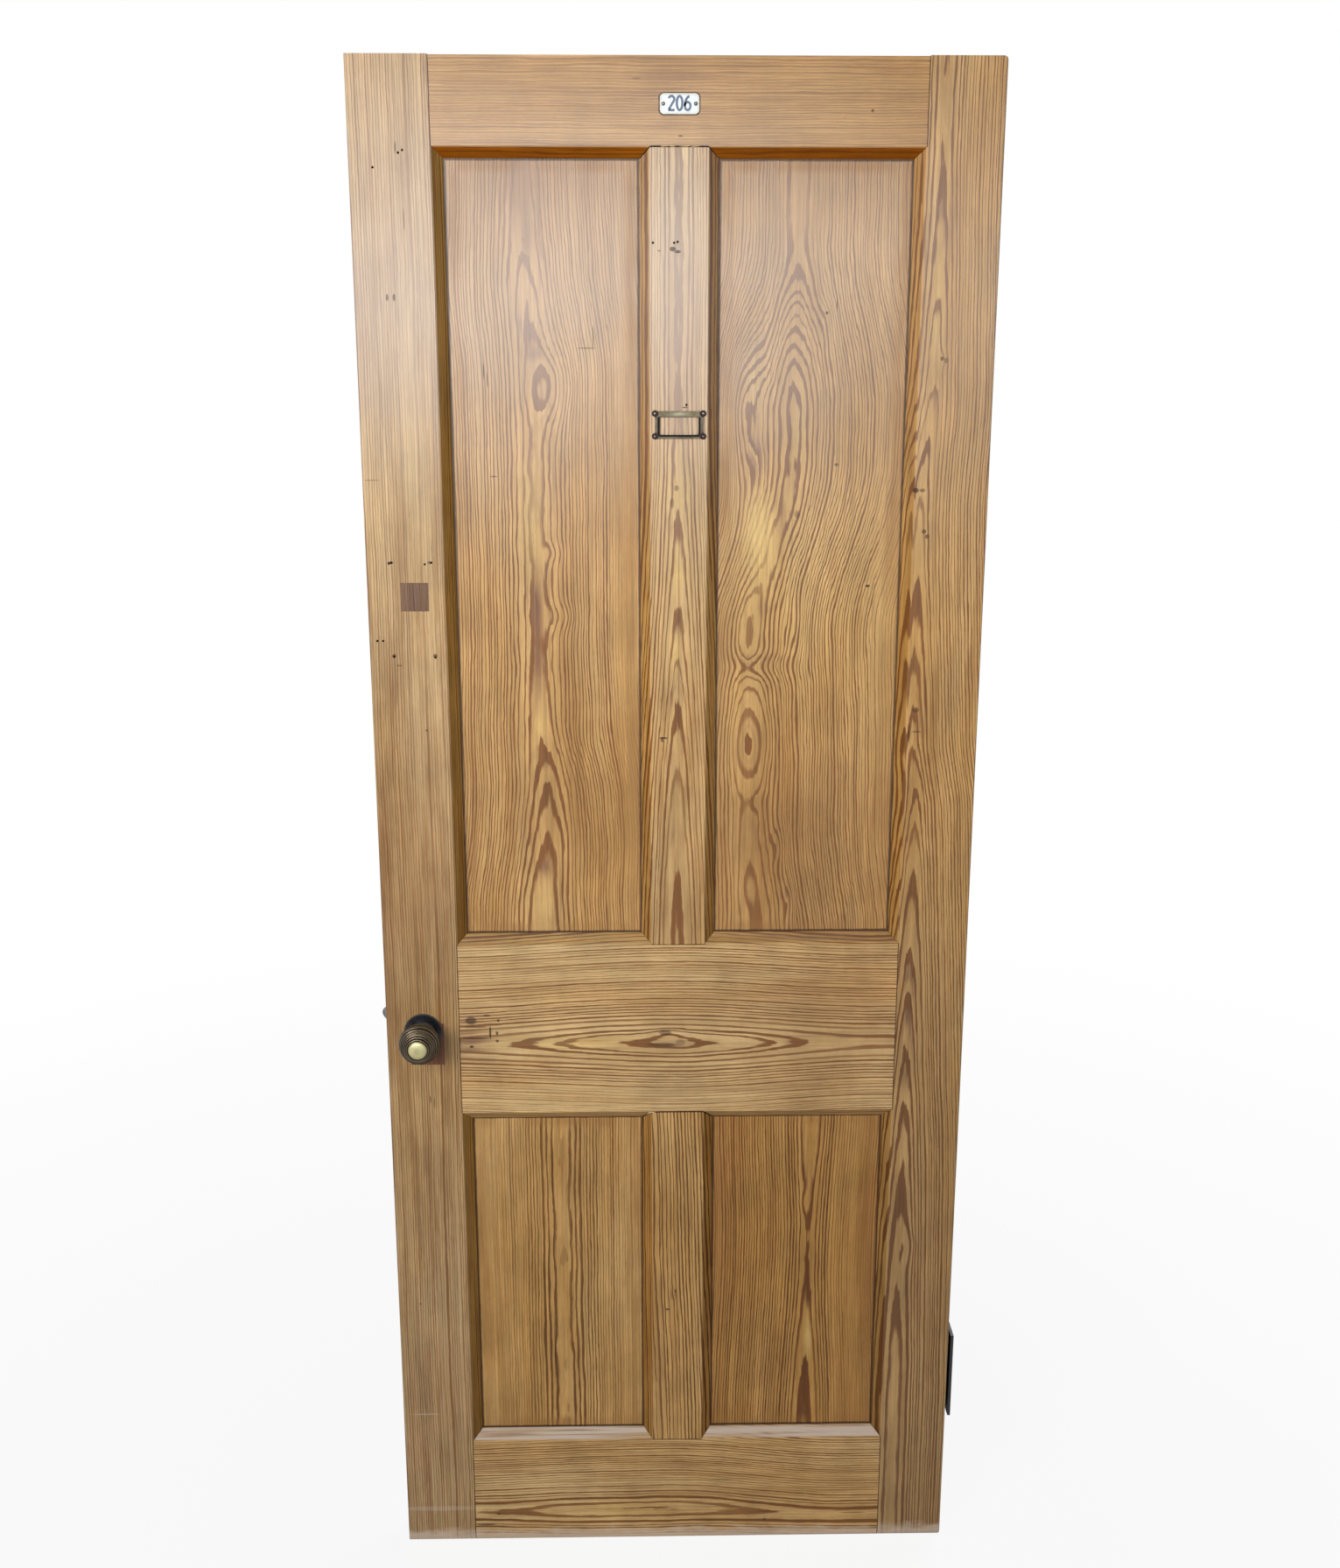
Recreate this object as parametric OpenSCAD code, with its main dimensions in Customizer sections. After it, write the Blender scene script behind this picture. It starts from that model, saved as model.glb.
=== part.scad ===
// Solid four-panel internal door in pitch pine, with a knob set, a mortice latch and butt hinges.
// Millimetres. X runs across the door, Y from the front face to the back face, Z up.
// The origin is the middle of the door's bottom edge.

/* [Door] */
// Width of the door
door_w = 762; // [720:1:840]
// Height of the door
door_h = 1981; // [1920:1:2060]
// Thickness of the stiles, rails and muntins
door_t = 44; // [42:0.5:54]
// Small flat worn along the long outer edges
arris = 1.2; // [0.5:0.1:2]
// Round on the top corner of the hinge stile
top_corner_r = 5; // [2:0.5:8]
// Round on the bottom corner of the hinge stile
bottom_corner_r = 3; // [1:0.5:6]
// Height that the lock stile stands above the top rail
horn_h = 1; // [0.5:0.1:3]

/* [Members] */
// Width of the lock stile, to its edge at the panels
lock_stile_w = 108; // [102:0.5:125]
// Width of the hinge stile, to its edge at the panels
hinge_stile_w = 102.5; // [95:0.5:125]
// Width of the muntins, to their edges at the panels
muntin_w = 94; // [84:0.5:110]
// Height of the top rail, to its edge at the panels
top_rail_h = 111.5; // [104:0.5:130]
// Height of the lock rail, between its edges at the panels
lock_rail_h = 262; // [250:1:300]
// Height of the lock rail's lower edge above the floor
lock_rail_z = 652; // [600:1:700]
// Height of the bottom rail, to its edge at the panels
bottom_rail_h = 172.5; // [160:0.5:210]
// Width and depth of the chamfer round each panel
chamfer = 13; // [12.5:0.5:14]
// Thickness of the panels
panel_t = 14; // [10:0.5:15]

/* [Joints] */
// Depth of the panel grooves
groove_depth = 12; // [8:0.5:12.5]
// Room left at the sides and top of a panel in its groove
panel_play = 2; // [1:0.5:4]
// Thickness of the tenons
tenon_t = 14; // [12:0.5:15]
// Shoulder between a rail's face edge and its tenon
tenon_shoulder = 8; // [5:1:12]
// Height of rail left beyond the outer tenons at the top and bottom of the door
tenon_haunch = 30; // [20:1:36]
// Gap between the bottom rail's twin tenons
bottom_tenon_gap = 32; // [20:1:40]
// Gap between the lock rail's twin tenons, which leaves room for the latch
lock_tenon_gap = 104; // [100:1:110]
// Length of the short tongue between twin tenons
haunch_len = 12; // [8:1:14]
// Spread of a mortise at the outer edge, filled by a wedge above and below the tenon
wedge_spread = 5; // [3:0.5:6]
// Length of the wedges
wedge_len = 62; // [45:1:75]
// Length of the muntins' stub tenons
stub_len = 30; // [20:1:36]
// Width of the muntins' stub tenons
stub_w = 48; // [36:1:54]
// Open joint left above the muntins, which have shrunk and dropped
muntin_drop = 1.8; // [0.8:0.1:3]

/* [Patches] */
// Width of the square let-in patch on the lock stile
patch_w = 34; // [24:0.5:50]
// Height of the square let-in patch
patch_h = 35; // [24:0.5:50]
// Depth of both let-in patches
patch_t = 6; // [4:0.5:8]
// Distance of the square patch's middle from the lock edge
patch_inset = 58; // [45:0.5:64]
// Distance of the square patch's middle below the top of the door
patch_drop = 623.5; // [540:0.5:730]
// Width of the let-in patch behind the front knob
lock_patch_w = 44.5; // [34:0.5:52]
// Height of the let-in patch behind the front knob
lock_patch_h = 58; // [50:0.5:80]
// Distance of the knob patch's middle from the lock edge
lock_patch_inset = 53; // [46:0.1:54]
// Distance of the knob patch's middle below the knob
lock_patch_drop = 18; // [8:0.5:20]

/* [Plates] */
// Width of the enamelled number plate
plate_w = 45.5; // [38:0.5:60]
// Height of the enamelled number plate
plate_h = 22.5; // [16:0.5:34]
// Thickness of the enamelled number plate
plate_t = 1.6; // [1:0.1:3]
// Corner round of the number plate
plate_corner = 5; // [2:0.5:7]
// Distance of the plate's middle below the top of the door
plate_drop = 53.2; // [30:0.1:70]
// Distance between the two plate screws
plate_screw_gap = 37.5; // [30:0.5:42]
// Width of the card frame, without its ears
card_w = 58; // [50:0.5:64]
// Height of the card frame
card_h = 32.5; // [28:0.5:40]
// Height of the card frame above the muntin's face
card_t = 3; // [2.4:0.1:4]
// Distance of the card frame's middle below the top of the door
card_drop = 415.5; // [280:0.5:580]
// Width of the card frame's side bars
card_side = 5.5; // [4.5:0.1:8]
// Height of the card frame's bottom bar
card_bottom = 4.5; // [4:0.1:8]
// Height of the card frame's top bar
card_top = 7; // [5:0.1:9]
// Radius of the ears at the card frame's corners
ear_r = 3.8; // [3:0.1:5]
// Thickness of the ears
ear_t = 1.6; // [1:0.1:2.2]

/* [Knobs] */
// Distance of the knob's axis from the lock edge
backset = 48; // [45:0.5:52]
// Height of the knob's axis above the lock rail's lower edge
knob_rise = 130; // [120:0.5:140]
// Largest diameter of the knob
knob_d = 54; // [46:0.5:60]
// Distance that the knob stands out from the door's face
knob_reach = 66; // [60:0.5:72]
// Distance of the knob's widest part from the door's face
knob_belly = 40; // [36:0.5:44]
// Diameter of the knob's neck
neck_d = 20; // [17:0.5:24]
// Number of ribs round the knob
rib_count = 7; // [4:1:10]
// Height of each rib
rib_h = 0.9; // [0.3:0.1:1.5]
// Diameter of the bright nose
nose_d = 23; // [18:0.5:26]
// Diameter of the roses
rose_d = 50; // [44:0.5:56]
// Height of the roses
rose_h = 9; // [6:0.5:12]
// Width across the square spindle
spindle_w = 8; // [7:0.5:9]
// Diameter of the hole through the stile for the spindle
spindle_hole_d = 17; // [15:0.5:19]

/* [Latch] */
// Depth of the latch case behind its forend
case_d = 68; // [66:0.5:70]
// Height of the latch case
case_h = 62; // [60:0.5:66]
// Thickness of the latch case
case_t = 16; // [15.8:0.1:18]
// Wall of the latch case
case_wall = 1.6; // [1.2:0.1:1.7]
// Height of the latch bolt's middle above the knob's axis
bolt_rise = 18; // [17.5:0.1:18.5]
// Height of the latch bolt
bolt_h = 12.5; // [11.5:0.1:13]
// Thickness of the latch bolt
bolt_t = 12; // [10:0.1:12.2]
// Distance that the latch bolt stands out from the edge
bolt_reach = 8.5; // [6.5:0.1:10]
// Distance that the latch bolt draws back
bolt_travel = 11; // [10:0.1:11.2]
// Height of the forend
forend_h = 88; // [86:0.5:92]
// Width of the forend
forend_w = 20; // [18:0.5:24]
// Thickness of the forend
forend_t = 3; // [2:0.1:4]
// Wire diameter of the latch spring
spring_wire = 1; // [0.8:0.05:1.2]
// Turns of the latch spring
spring_turns = 4; // [3:0.5:4.5]

/* [Hinges] */
// Height of each hinge
hinge_h = 127; // [100:1:150]
// Height of the lower hinge's middle
lower_hinge_z = 252; // [240:1:320]
// Distance of the upper hinge's middle below the top of the door
upper_hinge_drop = 228.5; // [200:0.5:280]
// Thickness of a hinge leaf
leaf_t = 4; // [3:0.1:5]
// Gap between the folded leaves
leaf_gap = 5; // [3:0.1:6]
// Distance of the leaves' free edges behind the door's front face
leaf_setback = 8; // [5:0.5:14]
// Clearance between a knuckle and the door's back face
knuckle_standoff = 0.5; // [0.4:0.1:2]
// Diameter of the hinge pins
pin_d = 7; // [5:0.5:8]
// Distance between the outer screws of a leaf
outer_screw_gap = 98; // [84:1:104]
// Distance between the inner screws of a leaf
inner_screw_gap = 36; // [26:1:50]
// Diameter of the hinge screws
hinge_screw_d = 5; // [4:0.1:5.5]
// Length of the hinge screws
hinge_screw_len = 32; // [25:1:40]

/* [Fits] */
// Room round tenons, patches, cases and screws
joint_fit = 0.15; // [0.1:0.05:0.3]
// Open hairline at the shoulders of the joints
shoulder_gap = 0.4; // [0.2:0.05:0.6]
// Room at each side of a panel in its groove
groove_fit = 0.25; // [0.15:0.05:0.5]
// Radial clearance of turning parts
running_fit = 0.06; // [0.03:0.01:0.08]
// Clearance between parts that slide or pass each other
sliding_fit = 0.25; // [0.2:0.05:0.35]

/* [Hidden] */
$fn = 64;
// Overrun of a cut past the surface that it leaves
cut_margin = 1;

lock_x = -door_w / 2;
hinge_x = door_w / 2;
front_y = -door_t / 2;
back_y = door_t / 2;

// Edges at the panels, and face edges where the chamfers start
lock_edge = lock_x + lock_stile_w;
lock_face = lock_edge - chamfer;
hinge_edge = hinge_x - hinge_stile_w;
hinge_face = hinge_edge + chamfer;
muntin_mid = (lock_edge + hinge_edge) / 2;
muntin_left = muntin_mid - muntin_w / 2;
muntin_right = muntin_mid + muntin_w / 2;
muntin_face_left = muntin_left + chamfer;
muntin_face_right = muntin_right - chamfer;

// Openings for the panels, as their lower and upper edges
lower_opening = [bottom_rail_h, lock_rail_z];
upper_opening = [lock_rail_z + lock_rail_h, door_h - top_rail_h];
openings = [lower_opening, upper_opening];
groove_w = panel_t + 2 * groove_fit;
panel_seat = groove_depth - joint_fit;
panel_tongue = groove_depth - panel_play;

// Heights of the square patch and the card frame
patch_z = door_h - patch_drop;
card_z = door_h - card_drop;

// Knob and latch
knob_x = lock_x + backset;
knob_z = lock_rail_z + knob_rise;
bolt_z = knob_z + bolt_rise;
case_x = lock_x + forend_t;
case_rise = 8;
case_mid_z = knob_z + case_rise;
case_end = case_x + case_d;
case_inside = case_t - 2 * case_wall;
follower_t = case_inside - 2 * sliding_fit;
hub_r = 1.1 * spindle_w;
journal_r = 0.875 * spindle_w;
arm_r = 15;
arm_tip_r = 3;
lug_gap = 0.6;
lug_x = knob_x + arm_tip_r + lug_gap;
lug_t = 5;
lug_clearance = 1;
lug_end_z = knob_z + hub_r + lug_clearance;
tail_h = 3.6;
tail_w = 6;
bolt_depth = 19;
bolt_back = lock_x + bolt_depth;
guide_d = 5;
guide_rise = 14.5;
guide_z = knob_z + guide_rise;
post_t = 3;
post_margin = 2;
spring_spare = 1;
post_x = bolt_back + bolt_travel + spring_turns * spring_wire + spring_spare;
guide_entry = 2;
guide_end = post_x + guide_entry;
spring_r = guide_d / 2 + sliding_fit + spring_wire / 2;

// Tenons of each rail, as their lower and upper edges
top_tenons = [[upper_opening[1] + chamfer + tenon_shoulder, door_h - tenon_haunch]];
lock_tenons = [
    [lower_opening[1] + chamfer + tenon_shoulder, case_mid_z - lock_tenon_gap / 2],
    [case_mid_z + lock_tenon_gap / 2, upper_opening[0] - chamfer - tenon_shoulder]
];
bottom_tenon_top = bottom_rail_h - chamfer - tenon_shoulder;
bottom_tenon_mid = (tenon_haunch + bottom_tenon_top) / 2;
bottom_tenons = [
    [tenon_haunch, bottom_tenon_mid - bottom_tenon_gap / 2],
    [bottom_tenon_mid + bottom_tenon_gap / 2, bottom_tenon_top]
];
all_tenons = concat(top_tenons, lock_tenons, bottom_tenons);
haunches = [
    [lock_tenons[0][1], lock_tenons[1][0]],
    [bottom_tenons[0][1], bottom_tenons[1][0]]
];

// Hinges
knuckle_r = leaf_gap / 2 + leaf_t;
pin_x = hinge_x + leaf_gap / 2;
pin_y = back_y + knuckle_standoff + knuckle_r;
leaf_front = front_y + leaf_setback;
knuckle_count = 5;
knuckle_pitch = hinge_h / knuckle_count;
knuckle_play = 0.4;
knuckle_clearance = 0.4;
upper_hinge_z = door_h - upper_hinge_drop;
outer_screw_inset = 12;
inner_screw_inset = 24;
outer_screw_y = leaf_front + outer_screw_inset;
inner_screw_y = leaf_front + inner_screw_inset;
screw_spots = [
    [outer_screw_y, -outer_screw_gap / 2],
    [outer_screw_y, outer_screw_gap / 2],
    [inner_screw_y, -inner_screw_gap / 2],
    [inner_screw_y, inner_screw_gap / 2]
];

// Small screws and pins
plate_screw_d = 2.4;
plate_screw_head = 4.6;
plate_screw_len = 14;
card_pin_d = 1.8;
card_pin_head = 3.6;
card_pin_len = 12;
ear_overhang = 1;
rose_screw_d = 3;
rose_screw_len = 14;
rose_screw_inset = 4;
rose_screw_ring = rose_d / 2 - rose_screw_inset;
rose_rim_h = 2.5;
forend_screw_d = 3.5;
forend_screw_len = 22;
forend_screw_inset = 8;
forend_screw_gap = forend_h - 2 * forend_screw_inset;
grub_d = 4;
grub_clearance = 5;
grub_reach = rose_h + grub_clearance;

// Old nail holes in the lock stile, as distance from the lock edge and below the top of the door
nail_d = 2.6;
nail_depth = 7;
lock_nails = [
    [28, 582], [31, 581], [72, 583], [80, 581], [30, 698], [81, 699],
    [58, 107], [63, 104], [28, 123], [10, 678], [17, 678]
];
// Old nail holes in the upper muntin, as distance from its middle and below the top of the door
muntin_nails = [[-31, 206], [-6, 206], [-2, 205], [9, 392]];

wood_pale = "#c79a63";
wood_honey = "#b5854a";
wood_deep = "#a2713a";
wood_red = "#8a5a3c";
iron_black = "#1c1b1c";
brass_dark = "#5d4a2e";
brass_old = "#8d7a4a";
steel_grey = "#8b8d90";
enamel_white = "#f2f4f2";

// Placing

// Extrudes a front-view outline to a thickness centred in the door's thickness
module slab(t) {
    rotate([90, 0, 0])
        linear_extrude(t, center = true)
            children();
}

// Stands a piece on the front face, with its own Z pointing out of the door
module on_front(x, z) {
    translate([x, front_y, z])
        rotate([90, 0, 0])
            children();
}

// Stands a piece on the back face, with its own Z pointing out of the door
module on_back(x, z) {
    translate([x, back_y, z])
        rotate([-90, 0, 0])
            children();
}

// Stands a piece on the lock edge, with its own Z pointing out of the door
module on_lock_edge(y, z) {
    translate([lock_x, y, z])
        rotate([0, -90, 0])
            children();
}

// Stands a piece on the hinge edge, with its own Z pointing out of the door
module on_hinge_edge(y, z) {
    translate([hinge_x, y, z])
        rotate([0, 90, 0])
            children();
}

// Shared shapes

// Rectangle with round corners
module rounded_rect(w, h, r) {
    square([w - 2 * r, h], center = true);
    square([w, h - 2 * r], center = true);
    for (sx = [-1, 1], sy = [-1, 1])
        translate([sx * (w / 2 - r), sy * (h / 2 - r)])
            circle(r);
}

// Countersunk slotted wood screw, with its head's top at Z 0 and its point below
module wood_screw(d, len) {
    head_r = d;
    head_h = d / 2;
    point_len = d;
    slot_w = d / 5;
    slot_depth = d / 4;
    difference() {
        union() {
            translate([0, 0, -head_h])
                cylinder(h = head_h, r1 = d / 2, r2 = head_r);
            translate([0, 0, point_len - len])
                cylinder(h = len - point_len - head_h, r = d / 2);
            translate([0, 0, -len])
                cylinder(h = point_len, r1 = d / 8, r2 = d / 2);
        }
        translate([-head_r - cut_margin, -slot_w / 2, -slot_depth])
            cube([2 * (head_r + cut_margin), slot_w, slot_depth + cut_margin]);
    }
}

// Hole that takes such a screw, countersunk at Z 0
module screw_hole(d, len) {
    r = d / 2 + joint_fit;
    head_h = d / 2;
    translate([0, 0, -len - joint_fit])
        cylinder(h = len + joint_fit + cut_margin, r = r);
    translate([0, 0, -head_h])
        cylinder(h = head_h, r1 = r, r2 = d + joint_fit);
}

// Pin with a domed head that stands on Z 0
module dome_pin(d, head_d, len) {
    head_h = head_d / 3;
    ball_r = (head_d * head_d / 4 + head_h * head_h) / (2 * head_h);
    intersection() {
        translate([0, 0, head_h - ball_r])
            sphere(ball_r);
        cylinder(h = head_h, r = head_d / 2);
    }
    translate([0, 0, -len])
        cylinder(h = len, r = d / 2);
}

// Drilling that takes such a pin
module pin_hole(d, len) {
    translate([0, 0, -len - joint_fit])
        cylinder(h = len + joint_fit + cut_margin, r = d / 2 + joint_fit);
}

// Frame of the door

// Chamfer cut on both faces along an edge that runs up the door
module upright_chamfer(face_x, edge_x, z0, z1) {
    over = sign(edge_x - face_x) * cut_margin;
    for (side = [-1, 1])
        translate([0, 0, z0])
            linear_extrude(z1 - z0)
                polygon([
                    [face_x - over, side * (door_t / 2 + cut_margin)],
                    [edge_x + over, side * (door_t / 2 - chamfer - cut_margin)],
                    [edge_x + over, side * (door_t / 2 + cut_margin)]
                ]);
}

// Chamfer cut on both faces along an edge that runs across the door
module level_chamfer(face_z, edge_z, x0, x1) {
    over = sign(edge_z - face_z) * cut_margin;
    for (side = [-1, 1])
        translate([x0, 0, 0])
            rotate([90, 0, 90])
                linear_extrude(x1 - x0)
                    polygon([
                        [side * (door_t / 2 + cut_margin), face_z - over],
                        [side * (door_t / 2 - chamfer - cut_margin), edge_z + over],
                        [side * (door_t / 2 + cut_margin), edge_z + over]
                    ]);
}

// Panel groove in an edge that runs up the door
module upright_groove(face_x, edge_x, z0, z1) {
    out = sign(edge_x - face_x);
    ends = [edge_x - out * groove_depth, edge_x + out * cut_margin];
    translate([min(ends), -groove_w / 2, z0])
        cube([max(ends) - min(ends), groove_w, z1 - z0]);
}

// Panel groove in an edge that runs across the door
module level_groove(face_z, edge_z, x0, x1) {
    out = sign(edge_z - face_z);
    ends = [edge_z - out * groove_depth, edge_z + out * cut_margin];
    translate([x0, -groove_w / 2, min(ends)])
        cube([x1 - x0, groove_w, max(ends) - min(ends)]);
}

// Moulding cuts along every opening beside an upright
module upright_cuts(face_x, edge_x, spans) {
    for (span = spans) {
        z0 = span[0] - chamfer - cut_margin;
        z1 = span[1] + chamfer + cut_margin;
        upright_chamfer(face_x, edge_x, z0, z1);
        upright_groove(face_x, edge_x, z0, z1);
    }
}

// Moulding cuts along a rail's edge
module level_cuts(face_z, edge_z) {
    level_chamfer(face_z, edge_z, lock_face, hinge_face);
    level_groove(face_z, edge_z, lock_face, hinge_face);
}

// Outline of the strip with mitred ends between a member's face edge and its edge at a panel.
// Each point is a place across the member and a place along it. The strip is rooted in the member.
function strip_points(face, edge, start, end) =
    let (root = face - sign(edge - face) * cut_margin)
    [
        [root, start],
        [face, start],
        [edge, start + chamfer],
        [edge, end - chamfer],
        [face, end],
        [root, end]
    ];

// Front view of a stile, which swells to a mitred strip beside each opening
module stile_outline(outer_x, face_x, edge_x) {
    strips = [
        for (span = openings)
            each [
                [face_x, span[0] - chamfer],
                [edge_x, span[0]],
                [edge_x, span[1]],
                [face_x, span[1] + chamfer]
            ]
    ];
    polygon(concat(
        [[outer_x, 0], [face_x, 0]],
        strips,
        [[face_x, door_h], [outer_x, door_h]]
    ));
}

// Flared mortises for the rails' tenons, and short ones for the tongues between twin tenons
module stile_mortises(outer_x, face_x) {
    out = sign(outer_x - face_x);
    slab(tenon_t + 2 * joint_fit)
        for (row = all_tenons)
            polygon([
                [face_x - out * cut_margin, row[0] - joint_fit],
                [face_x, row[0] - joint_fit],
                [outer_x, row[0] - joint_fit - wedge_spread],
                [outer_x + out * cut_margin, row[0] - joint_fit - wedge_spread],
                [outer_x + out * cut_margin, row[1] + joint_fit + wedge_spread],
                [outer_x, row[1] + joint_fit + wedge_spread],
                [face_x, row[1] + joint_fit],
                [face_x - out * cut_margin, row[1] + joint_fit]
            ]);
    slab(tenon_t + 2 * joint_fit)
        for (row = haunches)
            polygon([
                [face_x - out * cut_margin, row[0] - cut_margin],
                [face_x + out * (haunch_len + joint_fit), row[0] - cut_margin],
                [face_x + out * (haunch_len + joint_fit), row[1] + cut_margin],
                [face_x - out * cut_margin, row[1] + cut_margin]
            ]);
}

// Worn flats along a stile's outer edges
module outer_arris(outer_x) {
    out = sign(outer_x);
    for (side = [-1, 1])
        translate([0, 0, -cut_margin])
            linear_extrude(door_h + horn_h + 2 * cut_margin)
                polygon([
                    [outer_x - out * (arris + cut_margin), side * (door_t / 2 + cut_margin)],
                    [outer_x + out * cut_margin, side * (door_t / 2 + cut_margin)],
                    [outer_x + out * cut_margin, side * (door_t / 2 - arris - cut_margin)]
                ]);
}

// Waste outside a rounded corner of the hinge stile
module corner_waste(z, r, up) {
    slab(door_t + 2 * cut_margin)
        difference() {
            translate([hinge_x - r, up > 0 ? z - r : z - cut_margin])
                square([r + cut_margin, r + cut_margin]);
            translate([hinge_x - r, z - up * r])
                circle(r);
        }
}

module lock_stile() color(wood_pale)
    difference() {
        slab(door_t)
            stile_outline(lock_x, lock_face, lock_edge);
        upright_cuts(lock_face, lock_edge, openings);
        stile_mortises(lock_x, lock_face);
        outer_arris(lock_x);
        patch_pocket(lock_x + patch_inset, patch_z, patch_w, patch_h);
        patch_pocket(lock_x + lock_patch_inset, knob_z - lock_patch_drop, lock_patch_w, lock_patch_h);
        latch_mortise();
        on_front(knob_x, knob_z)
            translate([0, 0, -door_t - cut_margin])
                cylinder(h = door_t + 2 * cut_margin, r = spindle_hole_d / 2);
        rose_screw_spots()
            screw_hole(rose_screw_d, rose_screw_len);
        for (nail = lock_nails)
            on_front(lock_x + nail[0], door_h - nail[1])
                pin_hole(nail_d, nail_depth);
    }

module hinge_stile() color(wood_honey)
    difference() {
        slab(door_t)
            stile_outline(hinge_x, hinge_face, hinge_edge);
        upright_cuts(hinge_face, hinge_edge, openings);
        stile_mortises(hinge_x, hinge_face);
        outer_arris(hinge_x);
        corner_waste(door_h, top_corner_r, 1);
        corner_waste(0, bottom_corner_r, -1);
        for (z = [lower_hinge_z, upper_hinge_z])
            hinge_recess(z);
    }

// Front view of a rail's strips beside the panels
module rail_strips(face_z, edge_z) {
    spans = [
        [lock_face + shoulder_gap, muntin_face_left],
        [muntin_face_right, hinge_face - shoulder_gap]
    ];
    for (span = spans)
        polygon([for (p = strip_points(face_z, edge_z, span[0], span[1])) [p[1], p[0]]]);
}

// Front view of a rail's face, from stile to stile
module rail_face(z0, z1) {
    translate([lock_face + shoulder_gap, z0])
        square([hinge_face - lock_face - 2 * shoulder_gap, z1 - z0]);
}

// Tenons that run through both stiles
module rail_tenons(rows) {
    slab(tenon_t)
        for (row = rows)
            translate([lock_x, row[0]])
                square([door_w, row[1] - row[0]]);
}

// Tongue between twin tenons
module rail_haunch(row) {
    slab(tenon_t)
        translate([lock_face - haunch_len, row[0]])
            square([hinge_face - lock_face + 2 * haunch_len, row[1] - row[0]]);
}

// Mortise in a rail for a muntin's stub tenon, reaching up or down from the rail's face edge
module stub_mortise(face_z, up) {
    depth = stub_len + panel_play;
    ends = [face_z - up * cut_margin, face_z + up * depth];
    translate([muntin_mid - stub_w / 2 - joint_fit, -tenon_t / 2 - joint_fit, min(ends)])
        cube([stub_w + 2 * joint_fit, tenon_t + 2 * joint_fit, max(ends) - min(ends)]);
}

module top_rail() color(wood_pale)
    difference() {
        union() {
            slab(door_t) {
                rail_face(upper_opening[1] + chamfer, door_h - horn_h);
                rail_strips(upper_opening[1] + chamfer, upper_opening[1]);
            }
            rail_tenons(top_tenons);
        }
        level_cuts(upper_opening[1] + chamfer, upper_opening[1]);
        stub_mortise(upper_opening[1] + chamfer, 1);
        for (side = [-1, 1])
            on_front(muntin_mid + side * plate_screw_gap / 2, door_h - plate_drop)
                pin_hole(plate_screw_d, plate_screw_len - plate_t);
    }

module lock_rail() color(wood_honey)
    difference() {
        union() {
            slab(door_t) {
                rail_face(lower_opening[1] + chamfer, upper_opening[0] - chamfer);
                rail_strips(lower_opening[1] + chamfer, lower_opening[1]);
                rail_strips(upper_opening[0] - chamfer, upper_opening[0]);
            }
            rail_tenons(lock_tenons);
            rail_haunch(haunches[0]);
        }
        level_cuts(lower_opening[1] + chamfer, lower_opening[1]);
        level_cuts(upper_opening[0] - chamfer, upper_opening[0]);
        stub_mortise(lower_opening[1] + chamfer, 1);
        stub_mortise(upper_opening[0] - chamfer, -1);
    }

module bottom_rail() color(wood_deep)
    difference() {
        union() {
            slab(door_t) {
                rail_face(0, lower_opening[0] - chamfer);
                rail_strips(lower_opening[0] - chamfer, lower_opening[0]);
            }
            rail_tenons(bottom_tenons);
            rail_haunch(haunches[1]);
        }
        level_cuts(lower_opening[0] - chamfer, lower_opening[0]);
        stub_mortise(lower_opening[0] - chamfer, -1);
    }

// Muntin with mitred strips on both sides and a stub tenon at each end
module muntin(span) {
    foot = span[0] - chamfer + shoulder_gap;
    head = span[1] + chamfer - muntin_drop;
    difference() {
        union() {
            slab(door_t) {
                translate([muntin_face_left, foot])
                    square([muntin_face_right - muntin_face_left, head - foot]);
                polygon(strip_points(muntin_face_left, muntin_left, foot, head));
                polygon(strip_points(muntin_face_right, muntin_right, foot, head));
            }
            slab(tenon_t)
                translate([muntin_mid - stub_w / 2, foot - stub_len])
                    square([stub_w, head - foot + 2 * stub_len]);
        }
        upright_cuts(muntin_face_left, muntin_left, [span]);
        upright_cuts(muntin_face_right, muntin_right, [span]);
    }
}

module upper_muntin() color(wood_pale)
    difference() {
        muntin(upper_opening);
        card_pin_spots()
            pin_hole(card_pin_d, card_pin_len);
        for (nail = muntin_nails)
            on_front(muntin_mid + nail[0], door_h - nail[1])
                pin_hole(nail_d, nail_depth);
    }

module lower_muntin() color(wood_honey)
    muntin(lower_opening);

// Panel that stands in the groove of the rail below it, with room at its sides and top
module panel(x0, x1, span) {
    slab(panel_t)
        translate([x0 - panel_tongue, span[0] - panel_seat])
            square([x1 - x0 + 2 * panel_tongue, span[1] - span[0] + panel_seat + panel_tongue]);
}

module upper_left_panel() color(wood_pale)
    panel(lock_edge, muntin_left, upper_opening);

module upper_right_panel() color(wood_pale)
    panel(muntin_right, hinge_edge, upper_opening);

module lower_left_panel() color(wood_honey)
    panel(lock_edge, muntin_left, lower_opening);

module lower_right_panel() color(wood_honey)
    panel(muntin_right, hinge_edge, lower_opening);

// Front view of one wedge between a tenon's edge and the slope of its mortise
module wedge_outline(outer_x, face_x, tenon_z, up) {
    out = sign(outer_x - face_x);
    slope = wedge_spread / abs(outer_x - face_x);
    inner_x = outer_x - out * wedge_len;
    thin_end = wedge_spread - slope * wedge_len;
    polygon([
        [outer_x, tenon_z + up * joint_fit],
        [outer_x, tenon_z + up * wedge_spread],
        [inner_x, tenon_z + up * thin_end],
        [inner_x, tenon_z + up * joint_fit]
    ]);
}

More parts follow.
